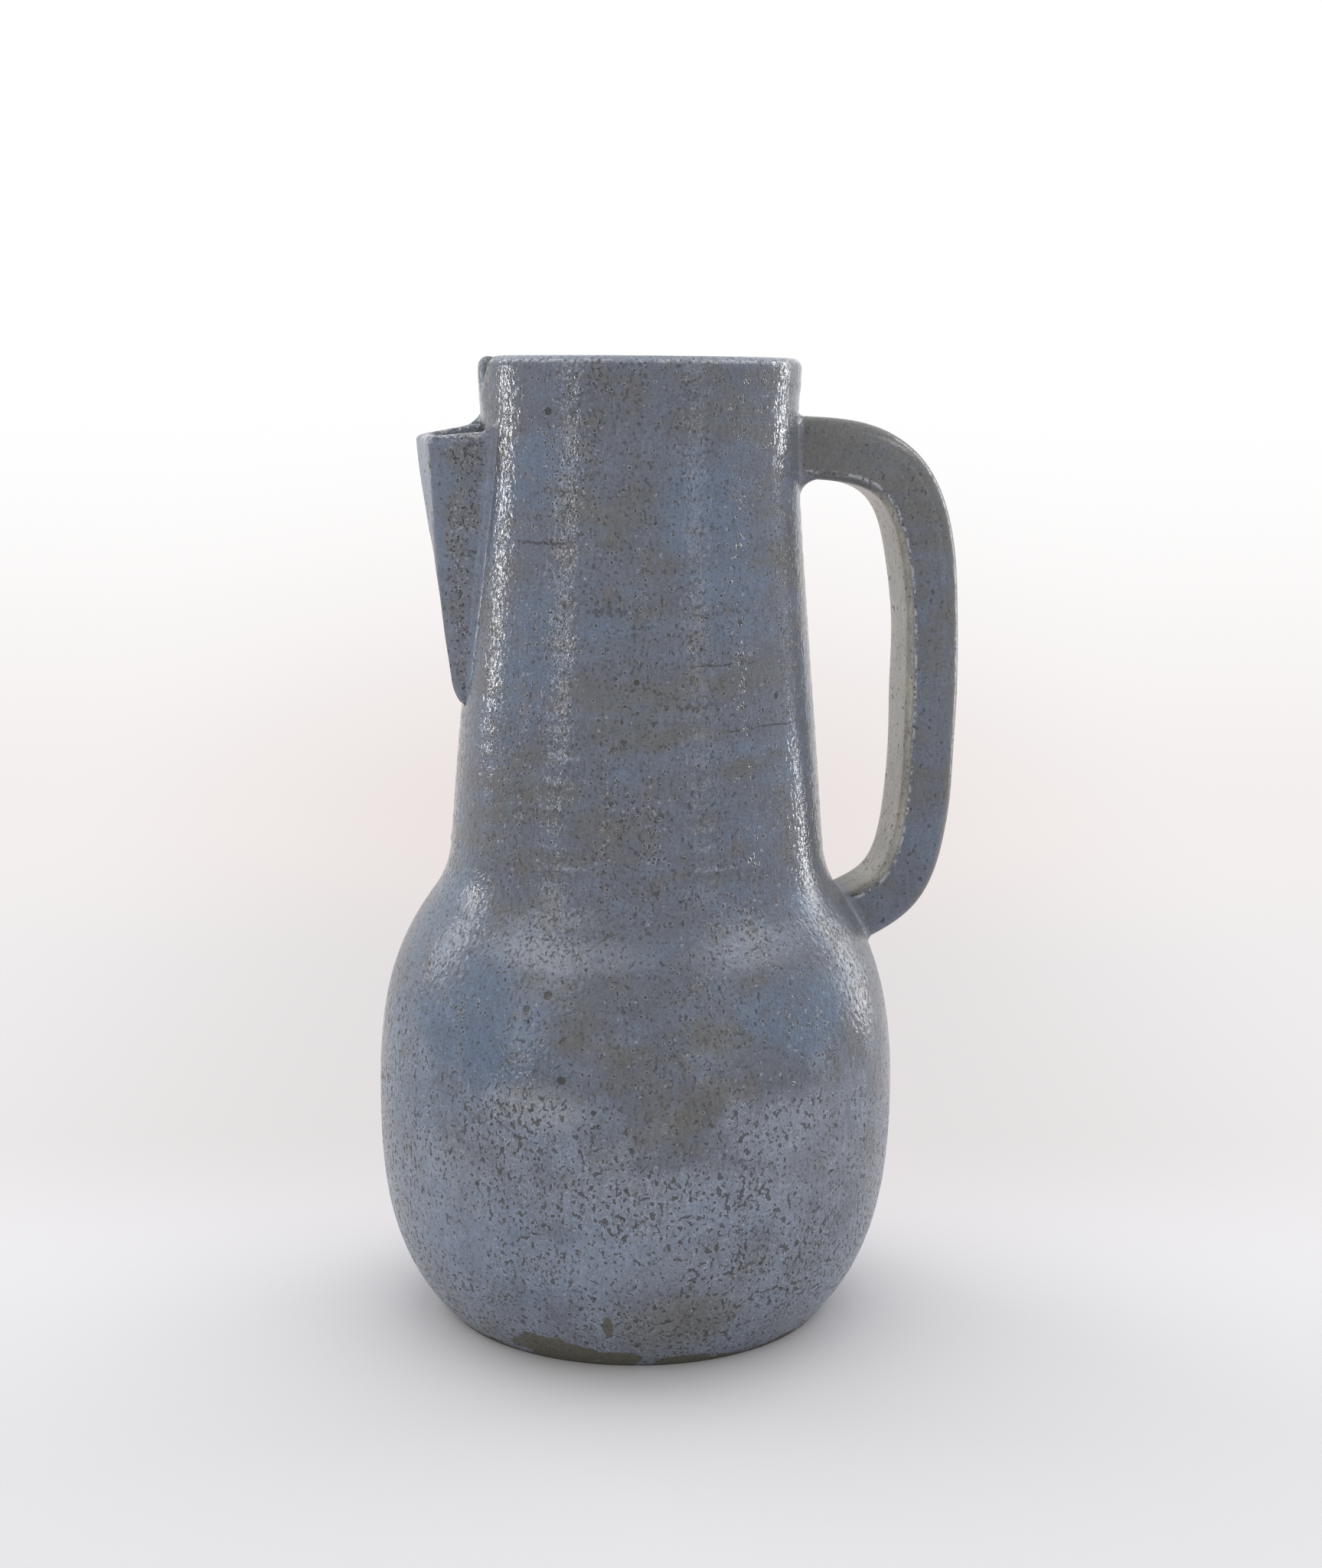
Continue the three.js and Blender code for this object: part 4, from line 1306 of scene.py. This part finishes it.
class PITCHER_OT_handle(bpy.types.Operator):
    """Lofts the strap handle along its middle line"""
    bl_idname = "pitcher.handle"
    bl_label = "Handle"

    def execute(self, context):
        strap = Strap(context)
        sizes = strap.sizes
        points = strap.middle_line()
        rings = []
        for place, middle in enumerate(points):
            along = points[min(place + 1, len(points) - 1)] - points[max(place - 1, 0)]
            through = strap.across.cross(along.normalized())
            ring_points = []
            for spot, facing in strap.outline(strap.thickness(middle)):
                point = middle + strap.across * spot.x + through * spot.y
                outward = strap.across * facing.x + through * facing.y
                ring_points.append(point + outward * STRAP_LUMP * noise.noise(point * STRAP_LUMP_SCALE))
            rings.append(ring_points)
        bm = bmesh.new()
        edge, thin, skin, smooth = float_layers(bm, "edge", "thin", "skin", "smooth")
        for row in loft(bm, rings):
            for vert, (_, facing) in zip(row, strap.outline(sizes.thick)):
                flank = abs(facing.x)
                # Painted highlight: a white line along each inner edge of the strap
                if facing.y > 0.0:
                    vert[edge] = ease(flank, *GLINT_BEAD_EDGE) * (1.0 - ease(flank, *FLAT_FLANK))
        bm.normal_update()
        arm_from = strap.top - ARM_FROM * sizes.root_thick
        arm_full = strap.top - ARM_FULL * sizes.root_thick
        for vert in bm.verts:
            outer = max(vert.normal.dot(strap.arm), vert.normal.z)
            vert[thin] = max(ease(vert.co.z, arm_from, arm_full), ease(outer, *FACING))
            vert[skin] = ease(-vert.normal.dot(strap.arm), *FACING)
            vert[smooth] = 1.0
        finish_piece(bm, "handle_strap", olive_glaze(), "olive_glaze", "handle")
        return {"FINISHED"}


class PITCHER_OT_handle_fillets(bpy.types.Operator):
    """Smooths a coil of clay round each root of the handle"""
    bl_idname = "pitcher.handle_fillets"
    bl_label = "Handle fillets"

    def execute(self, context):
        strap = Strap(context)
        sizes = strap.sizes
        for name, node, root, along, legs in (
                ("handle_top_fillet", "handle_top_coil", strap.root, strap.arm,
                 (sizes.armpit, sizes.fillet, sizes.brow)),
                ("handle_foot_fillet", "handle_foot_coil", strap.foot, -strap.landing,
                 (sizes.brow, FOOT_SMEAR, sizes.brow))):
            bm = bmesh.new()
            thin, milky, smooth = float_layers(bm, "thin", "milky", "smooth")
            rows = loft(bm, self.rings(strap, root, along, legs), closed=True)
            for row in rows:
                for place, vert in enumerate(row):
                    to_wall = min(place / (FILLET_STEPS - 1), 1.0)
                    vert[thin] = (1.0 - to_wall) * ease(vert.co.z, strap.grip_height, strap.top)
                    # Painted light: the fillet lightened towards the wall, against the shade in its corner
                    vert[milky] = PAINTED_LIGHT_IN_NOOKS * to_wall
                    vert[smooth] = 1.0
            finish_piece(bm, name, slate_glaze(), "slate_glaze", node)
        return {"FINISHED"}

    def rings(self, strap, root, along, legs):
        """Rings round a root; legs are the reaches to the opening, beside the strap and away from it."""
        opening, beside, away = legs
        outward = along if along.dot(strap.arm) > 0.0 else -along
        through = strap.across.cross(along)
        rings = []
        for spot, facing in strap.outline(strap.thickness(root)):
            leg = mix(mix(beside, opening, ease(facing.y, 0.0, 1.0)), away, ease(-facing.y, 0.0, 1.0))
            side = strap.across * facing.x + through * facing.y
            start = root + strap.across * spot.x + through * spot.y - side * FILLET_SINK
            corner = strap.wall.meet(start, outward, MEET_REACH)
            wall_end = strap.wall.meet(start + side * leg * WALL_LEG, outward, MEET_REACH)
            wall_end -= outward * FILLET_SINK
            strap_end = corner + outward * leg
            buried = corner - (side + outward) * leg * FILLET_BURIED
            rings.append(fillet_section(strap_end, corner, wall_end, buried))
        return rings


# Stage

# Width of the camera's sensor in millimetres
SENSOR = 36.0

# The sheet of paper, in metres
FLOOR_HALF = 3.0
FLOOR_FRONT = -2.0
FLOOR_BACK = 1.1
WALL_TOP = 3.0
SWEEP = 0.6
SWEEP_STEPS = 24

# Distances on the paper, in metres, between which its glowing tone changes, and the tones. The tone is
# painted light: darker at the horizon and just behind the pot, white higher up and to the sides
HORIZON_NEAR = -0.02
HORIZON_FAR = 0.16
ASIDE_NEAR = 0.06
ASIDE_FAR = 0.36
ASIDE_GLOW = 0.42
SIDES_NEAR = 1.0
UPPER_NEAR = 1.2
SKY = 0.80
SKY_COLOUR = (1.0, 0.99, 0.98, 1.0)
TONE_NEAR = 0.40
MIDDLE_DEPTH = 0.7
WHITE_DEPTH = 1.3
WHITE = (1.0, 1.0, 1.0, 1.0)

LAMP_AIM = Vector((0.0, 0.0, 0.16))

# Name, azimuth from the camera in degrees, distance and height in metres, the lamp's own width and height in
# metres, and its power in watts
MIRRORED_LAMPS = (
    ("left_strip", -103.0, 0.36, 0.245, 0.018, 0.15, 0.20),
    ("right_strip", 122.0, 0.9, 0.40, 0.07, 1.10, 3.3),
    ("left_window", -50.0, 1.4, 0.50, 0.10, 0.80, 1.6),
    ("right_window", 40.0, 1.4, 0.50, 0.10, 0.80, 0.7),
    ("left_box", -58.0, 0.95, 0.95, 0.90, 0.12, 2.4),
    ("right_box", 75.0, 0.95, 1.00, 0.70, 0.14, 1.7),
)
SOFT_LAMPS = (
    ("left_wash", -122.0, 1.2, 0.75, 1.00, 1.00, 4.4),
    ("right_wash", 125.0, 1.2, 0.75, 1.00, 1.00, 4.2),
    ("top_box", 180.0, 0.25, 1.30, 0.90, 0.90, 3.6),
)


def paper_material(stage):
    """Matt paper that shows a glowing tone to the camera and to reflections behind the pot; the tone is
    painted light, darker at the horizon and just behind the pot.
    """
    shader = Shader("studio_paper")
    coords = shader.add("ShaderNodeTexCoord", output="Object")
    away = (-math.sin(stage.azimuth), math.cos(stage.azimuth), 0.0)
    right = (math.cos(stage.azimuth), math.sin(stage.azimuth), 0.0)
    behind, aside = (
        shader.add("ShaderNodeVectorMath", {"operation": "DOT_PRODUCT"}, {0: coords, 1: axis}, output="Value")
        for axis in (away, right))
    height = shader.add("ShaderNodeSeparateXYZ", inputs={"Vector": coords}, output="Z")
    backdrop = shader.rise(behind, HORIZON_NEAR, HORIZON_FAR)
    paper = shader.add("ShaderNodeBsdfDiffuse", inputs={"Color": opaque(stage.floor)})
    depth = behind + height
    raised = shader.rise(depth, TONE_NEAR, MIDDLE_DEPTH)
    tone = shader.blend(opaque(stage.horizon), opaque(stage.backdrop), raised)
    # Painted shade: the paper stays darker just behind the pot and turns whiter to the sides
    tone = shader.blend(tone, WHITE, shader.rise(abs(aside), ASIDE_NEAR, ASIDE_FAR) * ASIDE_GLOW)
    tone = shader.blend(tone, WHITE, shader.rise(depth, MIDDLE_DEPTH, WHITE_DEPTH))
    sides = shader.rise(abs(aside), SIDES_NEAR, FLOOR_HALF)
    upper = shader.rise(height, UPPER_NEAR, WALL_TOP)
    tone = shader.blend(tone, (SKY, SKY, SKY, 1.0), sides.most(upper))
    glow = shader.add("ShaderNodeEmission", inputs={"Color": tone, "Strength": 1.0})
    seen = shader.add("ShaderNodeLightPath", output="Is Camera Ray")
    shown = (seen + seen.beside("Is Glossy Ray") + seen.beside("Is Transmission Ray")) * backdrop
    surface = shader.add("ShaderNodeMixShader", inputs={0: shown, 1: paper, 2: glow})
    return shader.finish(surface)


def add_light(stage, mirrored, name, azimuth, distance, height, width, tall, power):
    """Area lamp aimed at the pot, either only mirrored in the glaze or only lighting the scene."""
    lamp = bpy.data.lights.new(name, "AREA")
    lamp.shape = "RECTANGLE"
    lamp.size = width
    lamp.size_y = tall
    lamp.energy = power
    lamp.use_shadow = not mirrored
    light = bpy.data.objects.new(name, lamp)
    light.location = around(stage.azimuth + math.radians(azimuth), distance, height)
    light.rotation_euler = (LAMP_AIM - light.location).to_track_quat("-Z", "Y").to_euler()
    light.visible_camera = False
    light.visible_diffuse = not mirrored
    light.visible_glossy = mirrored
    bpy.context.scene.collection.objects.link(light)


def around(azimuth, distance, height):
    """Point at an azimuth, 0 towards -Y and growing towards +X."""
    return Vector((math.sin(azimuth) * distance, -math.cos(azimuth) * distance, height))


class PITCHER_OT_stage(bpy.types.Operator):
    """Lays the floor and backdrop and sets the lights and the camera"""
    bl_idname = "pitcher.stage"
    bl_label = "Stage"

    def execute(self, context):
        stage = context.scene.pitcher_stage
        self.paper(context, stage)
        self.lights(context, stage)
        self.camera(context, stage)
        context.scene.view_settings.view_transform = "Standard"
        return {"FINISHED"}

    def paper(self, context, stage):
        bm = bmesh.new()
        corners = (Vector((-FLOOR_HALF, FLOOR_FRONT, 0.0)), Vector((-FLOOR_HALF, FLOOR_BACK, 0.0)),
                   Vector((-FLOOR_HALF, FLOOR_BACK, WALL_TOP)))
        verts = [bm.verts.new(corner) for corner in corners]
        edges = [bm.edges.new(pair) for pair in zip(verts, verts[1:])]
        swept = bmesh.ops.extrude_edge_only(bm, edges=edges)["geom"]
        far = [item for item in swept if isinstance(item, bmesh.types.BMVert)]
        bmesh.ops.translate(bm, verts=far, vec=(2.0 * FLOOR_HALF, 0.0, 0.0))
        bend = [edge for edge in bm.edges if len(edge.link_faces) == 2]
        bmesh.ops.bevel(bm, geom=bend, offset=SWEEP, affect="EDGES", segments=SWEEP_STEPS, profile=0.5,
                        material=-1)
        bmesh.ops.recalc_face_normals(bm, faces=bm.faces)
        turn = Matrix.Rotation(stage.azimuth, 4, "Z")
        bmesh.ops.transform(bm, matrix=turn, verts=bm.verts)
        for face in bm.faces:
            face.smooth = True
        mesh = bpy.data.meshes.new("studio_paper")
        bm.to_mesh(mesh)
        bm.free()
        mesh.materials.append(paper_material(stage))
        paper = bpy.data.objects.new("studio_paper", mesh)
        context.scene.collection.objects.link(paper)

    def lights(self, context, stage):
        world = bpy.data.worlds.new("studio_world")
        world.use_nodes = True
        sky = world.node_tree.nodes["Background"]
        sky.inputs["Color"].default_value = SKY_COLOUR
        sky.inputs["Strength"].default_value = SKY
        context.scene.world = world
        for lamp in MIRRORED_LAMPS:
            add_light(stage, True, *lamp)
        for lamp in SOFT_LAMPS:
            add_light(stage, False, *lamp)

    def camera(self, context, stage):
        camera = bpy.data.objects.new("photo_camera", bpy.data.cameras.new("photo_camera"))
        camera.data.sensor_width = SENSOR
        camera.data.lens = stage.focal / max(PHOTO_WIDTH, PHOTO_HEIGHT) * SENSOR
        look = stage.azimuth - stage.yaw
        level = Vector((-math.sin(look), math.cos(look), 0.0))
        forward = level * math.cos(stage.pitch) - UP * math.sin(stage.pitch)
        right = Vector((math.cos(look), math.sin(look), 0.0))
        upward = right.cross(forward)
        leaning = right * math.cos(stage.roll) + upward * math.sin(stage.roll)
        top = upward * math.cos(stage.roll) - right * math.sin(stage.roll)
        turn = Matrix((leaning, top, -forward)).transposed()
        place = Matrix.Translation(around(stage.azimuth, stage.distance, stage.height))
        camera.matrix_world = place @ turn.to_4x4()
        context.scene.collection.objects.link(camera)
        context.scene.camera = camera


# Panel and registration

class PITCHER_PT_panel(bpy.types.Panel):
    """Builds the pitcher piece by piece"""
    bl_idname = "PITCHER_PT_panel"
    bl_label = "Stoneware pitcher"
    bl_space_type = "VIEW_3D"
    bl_region_type = "UI"
    bl_category = "Pitcher"

    def draw(self, context):
        for operator in OPERATORS:
            self.layout.operator(operator.bl_idname)
        for name in GROUPS:
            box = self.layout.box()
            group = getattr(context.scene, name)
            for key in group.__annotations__:
                box.prop(group, key)


OPERATORS = (
    PITCHER_OT_stage,
    PITCHER_OT_belly,
    PITCHER_OT_neck,
    PITCHER_OT_spout,
    PITCHER_OT_spout_fillets,
    PITCHER_OT_handle,
    PITCHER_OT_handle_fillets,
)

GROUPS = {
    "pitcher_body": PITCHER_PG_body,
    "pitcher_spout": PITCHER_PG_spout,
    "pitcher_handle": PITCHER_PG_handle,
    "pitcher_glaze": PITCHER_PG_glaze,
    "pitcher_stage": PITCHER_PG_stage,
}


def register():
    for name, group in GROUPS.items():
        bpy.utils.register_class(group)
        setattr(bpy.types.Scene, name, PointerProperty(type=group))
    for operator in OPERATORS:
        bpy.utils.register_class(operator)
    bpy.utils.register_class(PITCHER_PT_panel)


def unregister():
    bpy.utils.unregister_class(PITCHER_PT_panel)
    for operator in reversed(OPERATORS):
        bpy.utils.unregister_class(operator)
    for name, group in GROUPS.items():
        delattr(bpy.types.Scene, name)
        bpy.utils.unregister_class(group)


def main():
    register()
    bpy.ops.pitcher.stage()
    bpy.ops.pitcher.belly()
    bpy.ops.pitcher.neck()
    bpy.ops.pitcher.spout()
    bpy.ops.pitcher.spout_fillets()
    bpy.ops.pitcher.handle()
    bpy.ops.pitcher.handle_fillets()


if __name__ == "__main__":
    main()
